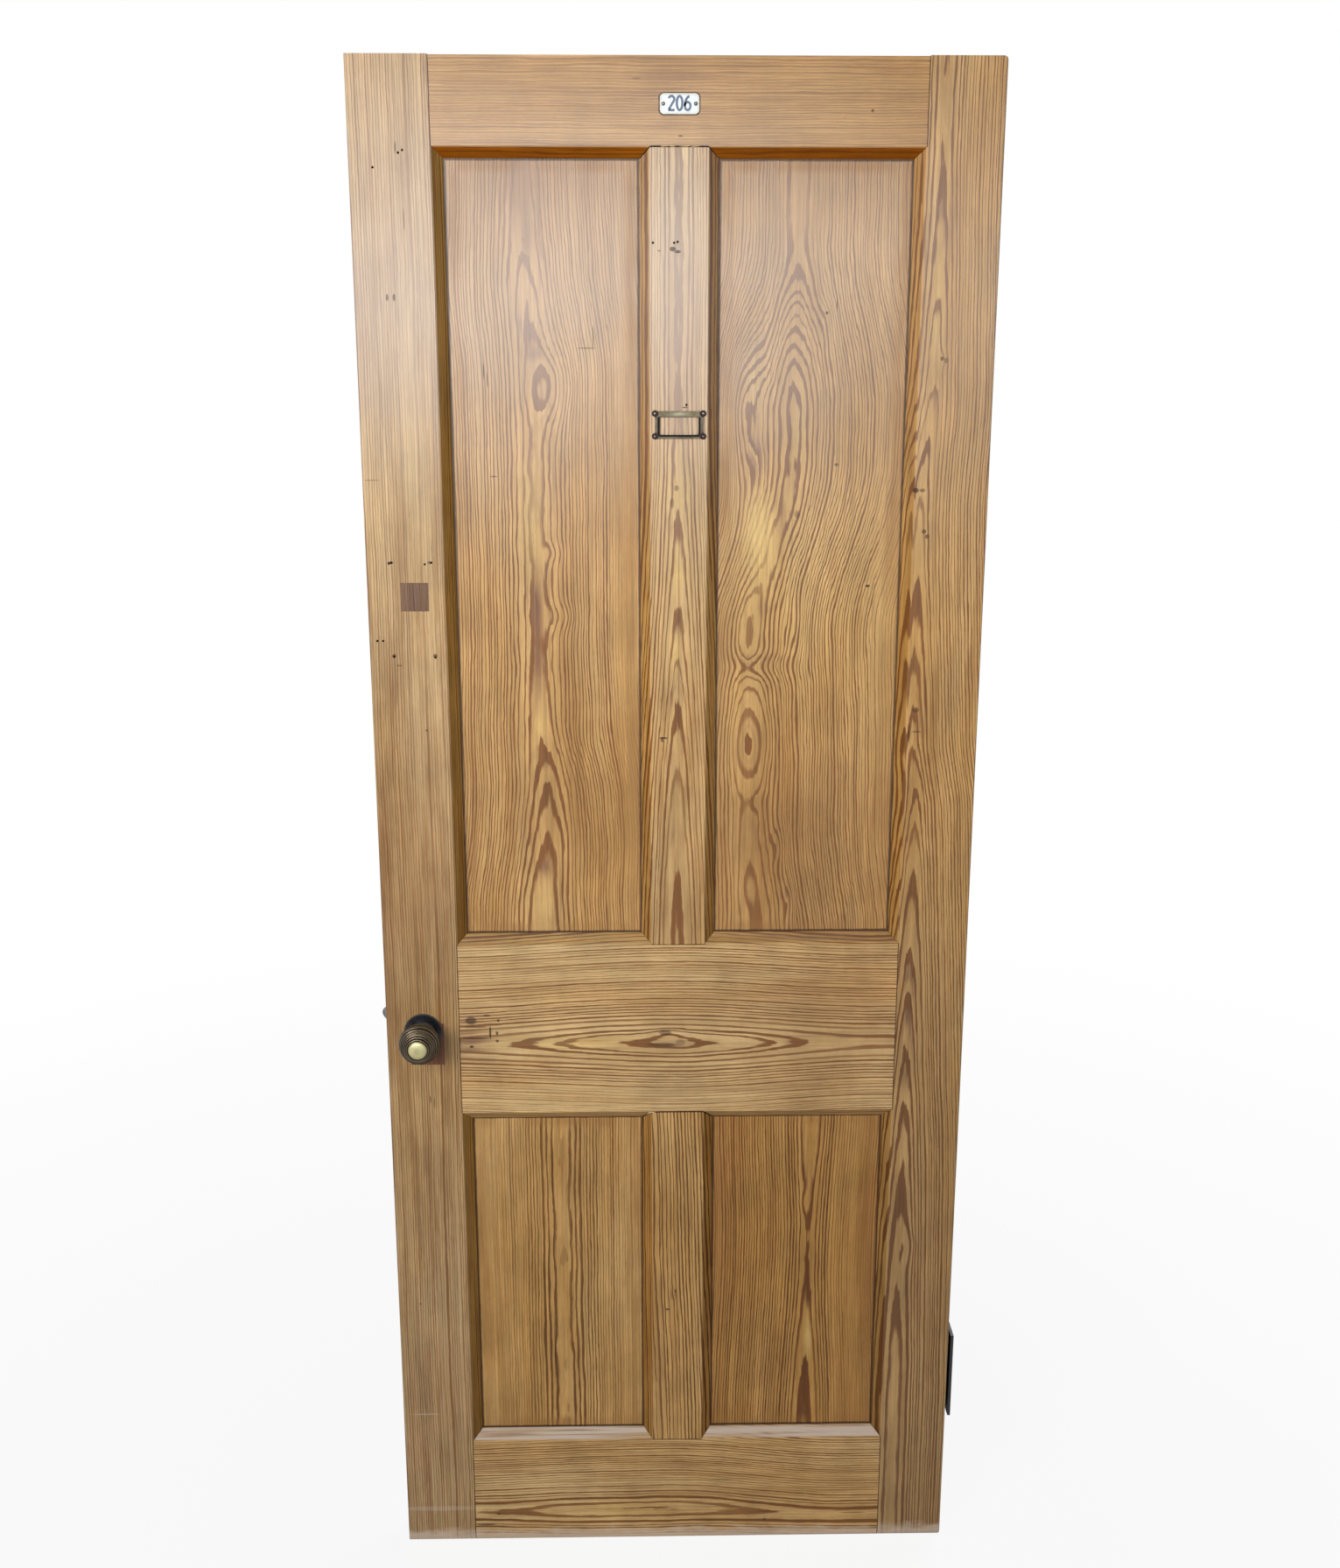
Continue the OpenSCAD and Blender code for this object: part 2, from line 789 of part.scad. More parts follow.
module tenon_wedges() color(wood_deep)
    slab(tenon_t)
        for (row = all_tenons, stile = [[lock_x, lock_face], [hinge_x, hinge_face]]) {
            wedge_outline(stile[0], stile[1], row[0], -1);
            wedge_outline(stile[0], stile[1], row[1], 1);
        }

// Let-in patches

module patch_pocket(x, z, w, h) {
    on_front(x, z)
        translate([-w / 2 - joint_fit, -h / 2 - joint_fit, -patch_t])
            cube([w + 2 * joint_fit, h + 2 * joint_fit, patch_t + cut_margin]);
}

module square_patch() color(wood_red)
    on_front(lock_x + patch_inset, patch_z)
        translate([-patch_w / 2, -patch_h / 2, -patch_t])
            cube([patch_w, patch_h, patch_t]);

module knob_patch() color(wood_red)
    difference() {
        on_front(lock_x + lock_patch_inset, knob_z - lock_patch_drop)
            translate([-lock_patch_w / 2, -lock_patch_h / 2, -patch_t])
                cube([lock_patch_w, lock_patch_h, patch_t]);
        on_front(knob_x, knob_z)
            translate([0, 0, -patch_t - cut_margin])
                cylinder(h = patch_t + 2 * cut_margin, r = spindle_hole_d / 2);
        rose_screw_spots()
            screw_hole(rose_screw_d, rose_screw_len);
    }

// Plates on the front

module number_plate() color(enamel_white)
    on_front(muntin_mid, door_h - plate_drop)
        difference() {
            linear_extrude(plate_t)
                rounded_rect(plate_w, plate_h, plate_corner);
            for (side = [-1, 1])
                translate([side * plate_screw_gap / 2, 0, plate_t])
                    pin_hole(plate_screw_d, plate_t);
        }

module number_plate_screws() color(steel_grey)
    for (side = [-1, 1])
        on_front(muntin_mid + side * plate_screw_gap / 2, door_h - plate_drop)
            translate([0, 0, plate_t])
                dome_pin(plate_screw_d, plate_screw_head, plate_screw_len);

// Places of the four pins through the card frame's ears
module card_pin_spots() {
    for (sx = [-1, 1], sy = [-1, 1])
        on_front(muntin_mid + sx * card_w / 2, card_z + sy * (card_h / 2 - ear_r + ear_overhang))
            children();
}

module card_frame() color(brass_dark) {
    window_w = card_w - 2 * card_side;
    window_h = card_h - card_top - card_bottom;
    window_y = (card_bottom - card_top) / 2;
    cover_t = 1.6;
    card_slot = card_t - cover_t;
    card_lip = 2.5;
    corner_r = 2;
    slot_foot = window_y - window_h / 2 - card_lip;
    difference() {
        union() {
            on_front(muntin_mid, card_z)
                linear_extrude(card_t)
                    rounded_rect(card_w, card_h, corner_r);
            card_pin_spots()
                cylinder(h = ear_t, r = ear_r);
        }
        on_front(muntin_mid, card_z) {
            translate([0, window_y, -cut_margin])
                linear_extrude(card_t + 2 * cut_margin)
                    square([window_w, window_h], center = true);
            translate([-window_w / 2 - card_lip, slot_foot, -cut_margin])
                cube([window_w + 2 * card_lip, card_h, card_slot + cut_margin]);
        }
        card_pin_spots() {
            translate([0, 0, ear_t])
                cylinder(h = card_t, r = card_pin_head / 2 + joint_fit);
            translate([0, 0, ear_t])
                pin_hole(card_pin_d, ear_t);
        }
    }
}

module card_frame_pins() color(brass_old)
    card_pin_spots()
        translate([0, 0, ear_t])
            dome_pin(card_pin_d, card_pin_head, card_pin_len);

// Knob set

// Half section of a ribbed knob, from the neck in the rose to the nose
module knob_section() {
    belly_r = knob_d / 2 - rib_h;
    nose_r = nose_d / 2;
    crown_h = knob_reach - knob_belly;
    nose_rise = 2.5;
    neck_foot = 1;
    cove_rise = 19;
    cove_z = knob_belly - cove_rise;
    steps = 6;
    last_angle = acos((nose_r + rib_h) / belly_r);
    crown_scale = (crown_h - nose_rise - rib_h) / sin(last_angle);
    crown = [
        for (i = [0:rib_count * steps])
            let (
                a = last_angle * i / (rib_count * steps),
                bump = rib_h * abs(sin(180 * i / steps))
            )
            [(belly_r + bump) * cos(a), knob_belly + crown_scale * sin(a) + bump * sin(a)]
    ];
    nose = [
        for (a = [0:15:90])
            [nose_r * cos(a), knob_reach - nose_rise * (1 - sin(a))]
    ];
    underside = [
        for (a = [0:10:90])
            [
                neck_d / 2 + (belly_r - neck_d / 2) * sin(a),
                cove_z + (knob_belly - cove_z) * (1 - cos(a))
            ]
    ];
    polygon(concat([[0, neck_foot], [neck_d / 2, neck_foot]], underside, crown, nose));
}

// Knob with its square socket and the tapped hole for its grub screw
module knob() {
    socket_w = spindle_w + 2 * joint_fit;
    difference() {
        rotate_extrude($fn = 96)
            knob_section();
        translate([-socket_w / 2, -socket_w / 2, 0])
            cube([socket_w, socket_w, knob_belly + joint_fit]);
        grub_spot()
            cylinder(h = neck_d, r = grub_d / 2 + joint_fit);
    }
}

// Place of the grub screw, on the underside of the neck, pointing away from the spindle
module grub_spot() {
    translate([0, -spindle_w / 2 - joint_fit, grub_reach])
        rotate([90, 0, 0])
            children();
}

module grub_screw() {
    sunk = 0.5;
    grub_len = neck_d / 2 - spindle_w / 2 - sunk;
    slot_w = 0.8;
    grub_spot()
        difference() {
            cylinder(h = grub_len, r = grub_d / 2);
            translate([-grub_d, -slot_w / 2, grub_len - slot_w])
                cube([2 * grub_d, slot_w, slot_w + cut_margin]);
        }
}

module front_knob() color(brass_dark)
    on_front(knob_x, knob_z)
        knob();

module back_knob() color(brass_dark)
    on_back(knob_x, knob_z)
        mirror([0, 1, 0])
            knob();

module knob_grub_screws() color(steel_grey) {
    on_front(knob_x, knob_z)
        grub_screw();
    on_back(knob_x, knob_z)
        mirror([0, 1, 0])
            grub_screw();
}

// Domed rose with a flat rim and a hole in which the knob's neck turns
module rose() {
    hole_r = neck_d / 2 + running_fit;
    rim_r = rose_d / 2;
    rim_w = 8;
    rim_bevel = 1;
    lip_w = 2;
    dome_r = rim_r - rim_w;
    lip_r = hole_r + lip_w;
    dome = [
        for (a = [0:15:90])
            [
                lip_r + (dome_r - lip_r) * cos(a),
                rose_rim_h + (rose_h - rose_rim_h) * sin(a)
            ]
    ];
    rotate_extrude($fn = 96)
        polygon(concat(
            [[hole_r, 0], [rim_r, 0], [rim_r, rose_rim_h - rim_bevel], [rim_r - rim_bevel, rose_rim_h]],
            dome,
            [[hole_r, rose_h]]
        ));
}

// Places of the screws through the front rose, at the top of its rim
module rose_screw_spots() {
    for (side = [-1, 1])
        on_front(knob_x + side * rose_screw_ring, knob_z)
            translate([0, 0, rose_rim_h])
                children();
}

// Places of the screws through the back rose, at the top of its rim
module back_screw_spots() {
    for (side = [-1, 1])
        on_back(knob_x + side * rose_screw_ring, knob_z)
            translate([0, 0, rose_rim_h])
                children();
}

module front_rose() color(iron_black)
    difference() {
        on_front(knob_x, knob_z)
            rose();
        rose_screw_spots()
            screw_hole(rose_screw_d, rose_screw_len);
    }

module back_rose() color(iron_black)
    difference() {
        on_back(knob_x, knob_z)
            rose();
        back_screw_spots()
            screw_hole(rose_screw_d, rose_screw_len);
    }

module rose_screws() color(iron_black) {
    rose_screw_spots()
        wood_screw(rose_screw_d, rose_screw_len);
    back_screw_spots()
        wood_screw(rose_screw_d, rose_screw_len);
}

module spindle() color(steel_grey) {
    half = door_t / 2 + knob_belly;
    translate([knob_x - spindle_w / 2, -half, knob_z - spindle_w / 2])
        cube([spindle_w, 2 * half, spindle_w]);
}

// Mortice latch

// Room in the stile for the latch case and its forend
module latch_mortise() {
    on_lock_edge(0, case_mid_z) {
        translate([-forend_h / 2 - joint_fit, -forend_w / 2 - joint_fit, -forend_t])
            cube([forend_h + 2 * joint_fit, forend_w + 2 * joint_fit, forend_t + cut_margin]);
        translate([-case_h / 2 - joint_fit, -case_t / 2 - joint_fit, -forend_t - case_d - joint_fit])
            cube([case_h + 2 * joint_fit, case_t + 2 * joint_fit, case_d + forend_t + joint_fit]);
    }
    forend_screw_spots()
        screw_hole(forend_screw_d, forend_screw_len);
    back_screw_spots()
        screw_hole(rose_screw_d, rose_screw_len);
}

// Places of the two screws through the forend
module forend_screw_spots() {
    for (side = [-1, 1])
        on_lock_edge(0, case_mid_z + side * forend_screw_gap / 2)
            children();
}

module latch_case() color(steel_grey)
    difference() {
        union() {
            difference() {
                translate([case_x, -case_t / 2, case_mid_z - case_h / 2])
                    cube([case_d, case_t, case_h]);
                translate([case_x - cut_margin, -case_inside / 2, case_mid_z - case_h / 2 + case_wall])
                    cube([case_d - case_wall + cut_margin, case_inside, case_h - 2 * case_wall]);
            }
            translate([post_x, -case_t / 2, guide_z - spring_r - post_margin])
                cube([post_t, case_t, 2 * spring_r + post_margin]);
        }
        translate([knob_x, 0, knob_z])
            rotate([90, 0, 0])
                cylinder(h = case_t + 2 * cut_margin, r = journal_r + running_fit, center = true);
        translate([post_x - cut_margin, 0, guide_z])
            rotate([0, 90, 0])
                cylinder(h = post_t + 2 * cut_margin, r = guide_d / 2 + sliding_fit);
    }

module latch_forend() color(steel_grey)
    difference() {
        translate([lock_x, -forend_w / 2, case_mid_z - forend_h / 2])
            cube([forend_t, forend_w, forend_h]);
        translate([lock_x - cut_margin, -bolt_t / 2 - sliding_fit, bolt_z - bolt_h / 2 - sliding_fit])
            cube([forend_t + 2 * cut_margin, bolt_t + 2 * sliding_fit, bolt_h + 2 * sliding_fit]);
        forend_screw_spots()
            screw_hole(forend_screw_d, forend_screw_len);
    }

module forend_screws() color(steel_grey)
    forend_screw_spots()
        wood_screw(forend_screw_d, forend_screw_len);

// Latch bolt with a rounded, bevelled nose, a tail over the follower and a guide for the spring
module latch_bolt() color(steel_grey) {
    nose_x = lock_x - bolt_reach;
    nose_r = bolt_h / 2;
    bevel_flat = 3;
    bevel_foot = 1;
    top_z = bolt_z + bolt_h / 2;
    difference() {
        slab(bolt_t) {
            translate([nose_x + nose_r, bolt_z - bolt_h / 2])
                square([bolt_back - nose_x - nose_r, bolt_h]);
            translate([nose_x + nose_r, bolt_z])
                circle(nose_r);
        }
        translate([0, 0, bolt_z - bolt_h / 2 - cut_margin])
            linear_extrude(bolt_h + 2 * cut_margin)
                polygon([
                    [nose_x - cut_margin, bolt_t / 2 - bevel_flat],
                    [nose_x, bolt_t / 2 - bevel_flat],
                    [lock_x - bevel_foot, -bolt_t / 2 - cut_margin],
                    [nose_x - cut_margin, -bolt_t / 2 - cut_margin]
                ]);
    }
    translate([bolt_back - cut_margin, -tail_w / 2, top_z - tail_h])
        cube([lug_x + lug_t - bolt_back + cut_margin, tail_w, tail_h]);
    translate([lug_x, -tail_w / 2, lug_end_z])
        cube([lug_t, tail_w, top_z - lug_end_z]);
    translate([bolt_back - cut_margin, 0, guide_z])
        rotate([0, 90, 0])
            cylinder(h = guide_end - bolt_back + cut_margin, r = guide_d / 2);
}

// Follower that turns with the spindle, with one arm that draws the bolt back
module latch_follower() color(steel_grey) {
    socket_w = spindle_w + 2 * joint_fit;
    difference() {
        translate([knob_x, 0, knob_z])
            rotate([90, 0, 0]) {
                cylinder(h = case_t, r = journal_r, center = true);
                linear_extrude(follower_t, center = true) {
                    circle(hub_r);
                    translate([-arm_tip_r, 0])
                        square([2 * arm_tip_r, arm_r]);
                    translate([0, arm_r])
                        circle(arm_tip_r);
                }
            }
        translate([knob_x - socket_w / 2, -case_t, knob_z - socket_w / 2])
            cube([socket_w, 2 * case_t, socket_w]);
    }
}

// Point on the spring's ring of sides at one step of its helix
function spring_point(turn, side, sides, start_x, pitch) =
    let (
        a = 360 * turn,
        b = 360 * side / sides,
        r = spring_r + spring_wire / 2 * cos(b)
    )
    [start_x + pitch * turn + spring_wire / 2 * sin(b), r * cos(a), guide_z + r * sin(a)];

module latch_spring() color(steel_grey) {
    sides = 8;
    steps_per_turn = 16;
    steps = spring_turns * steps_per_turn;
    end_gap = 0.1;
    start_x = bolt_back + spring_wire / 2 + end_gap;
    length = post_x - bolt_back - spring_wire - 2 * end_gap;
    pitch = length / spring_turns;
    points = [
        for (i = [0:steps], s = [0:sides - 1])
            spring_point(i / steps_per_turn, s, sides, start_x, pitch)
    ];
    walls = [
        for (i = [0:steps - 1], s = [0:sides - 1])
            [
                i * sides + s,
                i * sides + (s + 1) % sides,
                (i + 1) * sides + (s + 1) % sides,
                (i + 1) * sides + s
            ]
    ];
    first_end = [for (s = [sides - 1:-1:0]) s];
    last_end = [for (s = [0:sides - 1]) steps * sides + s];
    polyhedron(points, concat(walls, [first_end, last_end]));
}

// Butt hinges

// Room in the stile's edge for a hinge's door leaf and its screws
module hinge_recess(z) {
    translate([hinge_x - leaf_t, leaf_front - joint_fit, z - hinge_h / 2 - joint_fit])
        cube([leaf_t + cut_margin, back_y - leaf_front + joint_fit + cut_margin, hinge_h + 2 * joint_fit]);
    for (spot = screw_spots)
        on_hinge_edge(spot[0], z + spot[1])
            screw_hole(hinge_screw_d, hinge_screw_len);
}

// Height of a knuckle's lower end above the hinge's middle
function knuckle_foot(i) = (i - knuckle_count / 2) * knuckle_pitch;

// Hinge leaf as a plate from the free edge to the pin, with the knuckles of the given numbers.
// plate_x is the plate's side nearer the lock edge, and face_x the side that shows the screw heads.
module hinge_leaf(plate_x, face_x, own) {
    others = [for (i = [0:knuckle_count - 1]) if (len(search(i, own)) == 0) i];
    turn = face_x > plate_x ? 90 : -90;
    difference() {
        union() {
            translate([plate_x, leaf_front, -hinge_h / 2])
                cube([leaf_t, pin_y - leaf_front, hinge_h]);
            for (i = own)
                translate([pin_x, pin_y, knuckle_foot(i)])
                    cylinder(h = knuckle_pitch, r = knuckle_r);
        }
        for (i = others)
            translate([pin_x, pin_y, knuckle_foot(i) - knuckle_play / 2])
                cylinder(h = knuckle_pitch + knuckle_play, r = knuckle_r + knuckle_clearance);
        translate([pin_x, pin_y, -hinge_h / 2 - cut_margin])
            cylinder(h = hinge_h + 2 * cut_margin, r = pin_d / 2 + running_fit);
        for (spot = screw_spots)
            translate([face_x, spot[0], spot[1]])
                rotate([0, turn, 0])
                    screw_hole(hinge_screw_d, hinge_screw_len);
    }
}

module door_leaf() {
    hinge_leaf(hinge_x - leaf_t, hinge_x, [1, 3]);
}

module frame_leaf() {
    hinge_leaf(hinge_x + leaf_gap, hinge_x + leaf_gap, [0, 2, 4]);
}

// Turns a leaf half a turn about the hinge's pin
module swung_open() {
    translate([pin_x, pin_y, 0])
        rotate([0, 0, 180])
            translate([-pin_x, -pin_y, 0])
                children();
}

module hinge_pin() {
    translate([pin_x, pin_y, -hinge_h / 2])
        cylinder(h = hinge_h, r = pin_d / 2);
}

module hinge_screws() {
    for (spot = screw_spots)
        on_hinge_edge(spot[0], spot[1])
            wood_screw(hinge_screw_d, hinge_screw_len);
}

module lower_hinge_door_leaf() color(iron_black)
    translate([0, 0, lower_hinge_z])
        door_leaf();

module lower_hinge_frame_leaf() color(iron_black)
    translate([0, 0, lower_hinge_z])
        frame_leaf();

module lower_hinge_pin() color(iron_black)
    translate([0, 0, lower_hinge_z])
        hinge_pin();

module lower_hinge_screws() color(iron_black)
    translate([0, 0, lower_hinge_z])
        hinge_screws();

module upper_hinge_door_leaf() color(iron_black)
    translate([0, 0, upper_hinge_z])
        door_leaf();

module upper_hinge_frame_leaf() color(iron_black)
    translate([0, 0, upper_hinge_z])
        swung_open()
            frame_leaf();

module upper_hinge_pin() color(iron_black)
    translate([0, 0, upper_hinge_z])
        hinge_pin();

module upper_hinge_screws() color(iron_black)
    translate([0, 0, upper_hinge_z])
        hinge_screws();

lock_stile();
hinge_stile();
top_rail();
lock_rail();
bottom_rail();
upper_muntin();
lower_muntin();
upper_left_panel();
upper_right_panel();
lower_left_panel();
lower_right_panel();
tenon_wedges();
square_patch();
knob_patch();
number_plate();
number_plate_screws();
card_frame();
card_frame_pins();
front_knob();
back_knob();
front_rose();
back_rose();
rose_screws();
spindle();
knob_grub_screws();
latch_case();
latch_forend();
forend_screws();
latch_bolt();
latch_follower();
latch_spring();
lower_hinge_door_leaf();
lower_hinge_frame_leaf();
lower_hinge_pin();
lower_hinge_screws();
upper_hinge_door_leaf();
upper_hinge_frame_leaf();
upper_hinge_pin();
upper_hinge_screws();
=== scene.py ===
"""Looks of the four-panel pitch pine door: timber, brass, iron, enamel, light and camera."""

import math

import bpy
import numpy as np
from mathutils import Matrix, Vector


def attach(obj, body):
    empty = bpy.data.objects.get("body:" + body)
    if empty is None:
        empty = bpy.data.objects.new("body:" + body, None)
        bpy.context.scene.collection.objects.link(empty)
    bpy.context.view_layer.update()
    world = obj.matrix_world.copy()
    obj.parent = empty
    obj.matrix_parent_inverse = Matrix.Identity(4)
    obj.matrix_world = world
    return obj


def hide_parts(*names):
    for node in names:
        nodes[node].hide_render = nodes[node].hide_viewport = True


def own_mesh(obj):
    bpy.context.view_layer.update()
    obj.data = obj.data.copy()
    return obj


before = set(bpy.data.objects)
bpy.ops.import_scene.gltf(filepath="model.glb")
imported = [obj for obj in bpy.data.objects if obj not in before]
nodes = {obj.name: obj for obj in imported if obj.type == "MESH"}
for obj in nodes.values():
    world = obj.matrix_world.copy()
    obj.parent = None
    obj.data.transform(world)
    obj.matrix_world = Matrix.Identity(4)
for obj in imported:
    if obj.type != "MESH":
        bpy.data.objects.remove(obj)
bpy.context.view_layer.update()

# Places on the door, in metres
FRONT = -0.022
PANEL_FRONT = -0.007
DOOR_TOP = 1.981
LOCK_FACE = -0.286
HINGE_FACE = 0.2915
UPPER_MUNTIN = (0.901, 1.8825)
LOWER_MUNTIN = (0.1595, 0.665)
LEFT_OPENING = (-0.273, -0.04425)
RIGHT_OPENING = (0.04975, 0.2785)
UPPER_OPENING = (0.914, 1.8695)
LOWER_OPENING = (0.1725, 0.652)
KNOB_X = -0.333
KNOB_Z = 0.782
SPRING_SPAN = (-0.3614, -0.3466)
SPRING_Z = 0.7965
SPRING_RADIUS = 0.00325
SPRING_WIRE = 0.001
PLATE_MIDDLE = (0.00275, 1.9278)
PLATE_HALF = (0.02275, 0.01125)
PLATE_CORNER = 0.005
PLATE_FRONT = -0.0236
WINDOW_MIDDLE = (0.00275, 1.56425)
WINDOW_HALF = (0.0235, 0.0105)
WINDOW_TOP = WINDOW_MIDDLE[1] + WINDOW_HALF[1]
EAR_REACH = (0.029, 0.01345)
CARD_MIDDLE = (0.00275, 1.5655)

# Spread of each soft light, in degrees
SOFTBOX_SPREAD = 120.0

# Ranges over which a look sets in, in metres
CHAMFER_DEPTHS = (0.0214, 0.0196)
INSIDE_EDGES = (0.376, 0.374)
BELOW_TOP = (DOOR_TOP - 0.002, DOOR_TOP - 0.004)
# Heights over which the painted shade low on the door sets in
LOW_SHADE_HEIGHTS = (1.35, 0.5)
FOOT_HEIGHTS = (0.020, 0.004)
NOSE_RADII = (0.0122, 0.0112)
NOSE_MIDDLE_RADII = (0.0055, 0.002)
NOSE_REACHES = (0.0835, 0.0855)
RINGED_RADII = (0.0285, 0.025)
PLATE_DIRT = (0.0022, 0.0009)
YELLOWED_RIM = (-0.004, -0.0003)
# Widths of the painted shade and dirt round the card window
WINDOW_SHADE_AND_GRIME = (0.0030, 0.0017)
TOP_BAR_HEIGHTS = (WINDOW_TOP - 0.0008, WINDOW_TOP + 0.0012)

# Middles and reaches of soft spots along x, y and z, in metres
# Middle and reach of the painted sheen over the upper half
SHEEN_MIDDLE = (-0.15, 0.0, 1.71)
SHEEN_REACH = (0.62, 1.0, 0.21)
# Middle and reach of the painted glint on the card frame
GLINT_MIDDLE = (0.003, FRONT, 1.5785)
GLINT_REACH = (0.009, 0.02, 0.0022)
EAR_SPOT_REACH = (0.0044, 0.02, 0.0044)

# Single lengths of the looks, in metres
RING_PITCH = 0.0023
SHOULDER_LINE = 0.0016
PANEL_LINE = 0.0036
PANEL_SIDE_BAND = 0.024
PANEL_END_BAND = 0.020
HEART_MARGIN = 0.002


def srgb(red, green, blue):
    """Linear colour of a screen colour given from 0 to 255."""
    shares = np.array((red, green, blue)) / 255.0
    low = shares / 12.92
    high = ((shares + 0.055) / 1.055) ** 2.4
    linear = np.where(shares <= 0.04045, low, high)
    return tuple(float(value) for value in linear) + (1.0,)


class Finish:
    """One material under construction. Each call adds a node and returns its output socket."""

    def __init__(self, name):
        self.material = bpy.data.materials.new(name)
        self.material.use_nodes = True
        self.tree = self.material.node_tree
        self.tree.nodes.clear()
        output = self.add("ShaderNodeOutputMaterial")
        self.shader = self.add("ShaderNodeBsdfPrincipled")
        self.tree.links.new(self.shader.outputs[0], output.inputs["Surface"])
        self.object_place = self.add("ShaderNodeTexCoord").outputs["Object"]

    def add(self, kind):
        return self.tree.nodes.new(kind)

    def put(self, socket, value):
        """Links a socket to another socket, or sets it to a plain value."""
        if isinstance(value, bpy.types.NodeSocket):
            self.tree.links.new(value, socket)
        else:
            socket.default_value = value

    def set(self, **values):
        """Sets the shader's own sockets, named with underscores for spaces."""
        for name, value in values.items():
            self.put(self.shader.inputs[name.replace("_", " ")], value)

    def math(self, operation, first, second=0.0, third=0.0):
        node = self.add("ShaderNodeMath")
        node.operation = operation
        for socket, value in zip(node.inputs, (first, second, third)):
            self.put(socket, value)
        return node.outputs[0]

    def plus(self, *values):
        total = values[0]
        for value in values[1:]:
            total = self.math("ADD", total, value)
        return total

    def times(self, *values):
        product = values[0]
        for value in values[1:]:
            product = self.math("MULTIPLY", product, value)
        return product

    def vector(self, operation, first, second=(0.0, 0.0, 0.0), third=(0.0, 0.0, 0.0)):
        node = self.add("ShaderNodeVectorMath")
        node.operation = operation
        for socket, value in zip(node.inputs, (first, second, third)):
            self.put(socket, value)
        return node

    def split(self, place):
        node = self.add("ShaderNodeSeparateXYZ")
        self.put(node.inputs[0], place)
        return node.outputs[0], node.outputs[1], node.outputs[2]

    def join(self, x, y, z):
        node = self.add("ShaderNodeCombineXYZ")
        for socket, value in zip(node.inputs, (x, y, z)):
            self.put(socket, value)
        return node.outputs[0]

    def noise(self, place, stretch, seed=0.0, detail=2.0, rough=0.5):
        """Smooth noise from 0 to 1 on a place that is stretched evenly or by axis, and moved by a seed."""
        if isinstance(stretch, float):
            stretch = (stretch, stretch, stretch)
        moved = self.vector("MULTIPLY_ADD", place, stretch, (seed, 1.7 * seed, 2.3 * seed))
        node = self.add("ShaderNodeTexNoise")
        self.put(node.inputs["Vector"], moved.outputs[0])
        self.put(node.inputs["Scale"], 1.0)
        self.put(node.inputs["Detail"], detail)
        self.put(node.inputs["Roughness"], rough)
        return node.outputs[0]

    def swing(self, amount, value):
        """Turns noise from 0 to 1 into a swing of plus or minus amount."""
        return self.math("MULTIPLY_ADD", value, 2.0 * amount, -amount)

    def step(self, value, low, high, to_low=0.0, to_high=1.0):
        """Smooth step of a value from low to high."""
        node = self.add("ShaderNodeMapRange")
        node.interpolation_type = "SMOOTHSTEP"
        for socket, number in zip(node.inputs, (value, low, high, to_low, to_high)):
            self.put(socket, number)
        return node.outputs[0]

    def spot(self, place, centre, reach):
        """Bell of height 1 at a centre, which falls off over its reach along each axis."""
        stretch = tuple(1.0 / size for size in reach)
        shift = tuple(-middle / size for middle, size in zip(centre, reach))
        moved = self.vector("MULTIPLY_ADD", place, stretch, shift).outputs[0]
        square = self.vector("DOT_PRODUCT", moved, moved).outputs["Value"]
        return self.math("EXPONENT", self.math("MULTIPLY", square, -1.0))

    def mix(self, share, first, second, kind="MIX"):
        node = self.add("ShaderNodeMix")
        node.data_type = "RGBA"
        node.blend_type = kind
        self.put(node.inputs[0], share)
        self.put(node.inputs[6], first)
        self.put(node.inputs[7], second)
        return node.outputs[2]

    def shaded(self, colour, shade):
        """Colour times one number."""
        return self.mix(1.0, colour, self.join(shade, shade, shade), "MULTIPLY")

    def occlusion(self, distance):
        """How open the surface is to its surroundings, from 0 in a crevice to 1."""
        node = self.add("ShaderNodeAmbientOcclusion")
        node.samples = 8
        self.put(node.inputs["Distance"], distance)
        return node.outputs["AO"]

    def rounded(self, x, z, middle, half, corner):
        """Distance outside a rounded rectangle in x and z, below zero inside it."""
        across = self.math("ABSOLUTE", self.math("SUBTRACT", x, middle[0]))
        along = self.math("ABSOLUTE", self.math("SUBTRACT", z, middle[1]))
        across = self.math("SUBTRACT", across, half[0] - corner)
        along = self.math("SUBTRACT", along, half[1] - corner)
        beyond = self.join(self.math("MAXIMUM", across, 0.0), self.math("MAXIMUM", along, 0.0), 0.0)
        outside = self.vector("LENGTH", beyond).outputs["Value"]
        inside = self.math("MINIMUM", self.math("MAXIMUM", across, along), 0.0)
        return self.plus(outside, inside, -corner)

    def bump(self, height, distance, strength=1.0):
        node = self.add("ShaderNodeBump")
        self.put(node.inputs["Strength"], strength)
        self.put(node.inputs["Distance"], distance)
        self.put(node.inputs["Height"], height)
        self.set(Normal=node.outputs[0])


# Timber colours
PALE_HONEY = srgb(222, 187, 133)
HONEY = srgb(211, 168, 110)
GOLD = srgb(200, 153, 91)
AMBER = srgb(187, 139, 76)
DULL_HONEY = srgb(199, 166, 121)
DULL_GOLD = srgb(188, 152, 103)
# Deep brown of tone patches and dirt, also used for painted shade and shadow
UMBER_AND_SHADE = srgb(150, 106, 60)
PALE_YELLOW = srgb(228, 190, 120)
RUST = srgb(184, 116, 66)
LATE_BROWN = srgb(132, 86, 47)
LATE_RED = srgb(112, 68, 36)
LATE_DEEP = srgb(116, 78, 42)
HEART_BROWN = srgb(136, 96, 72)
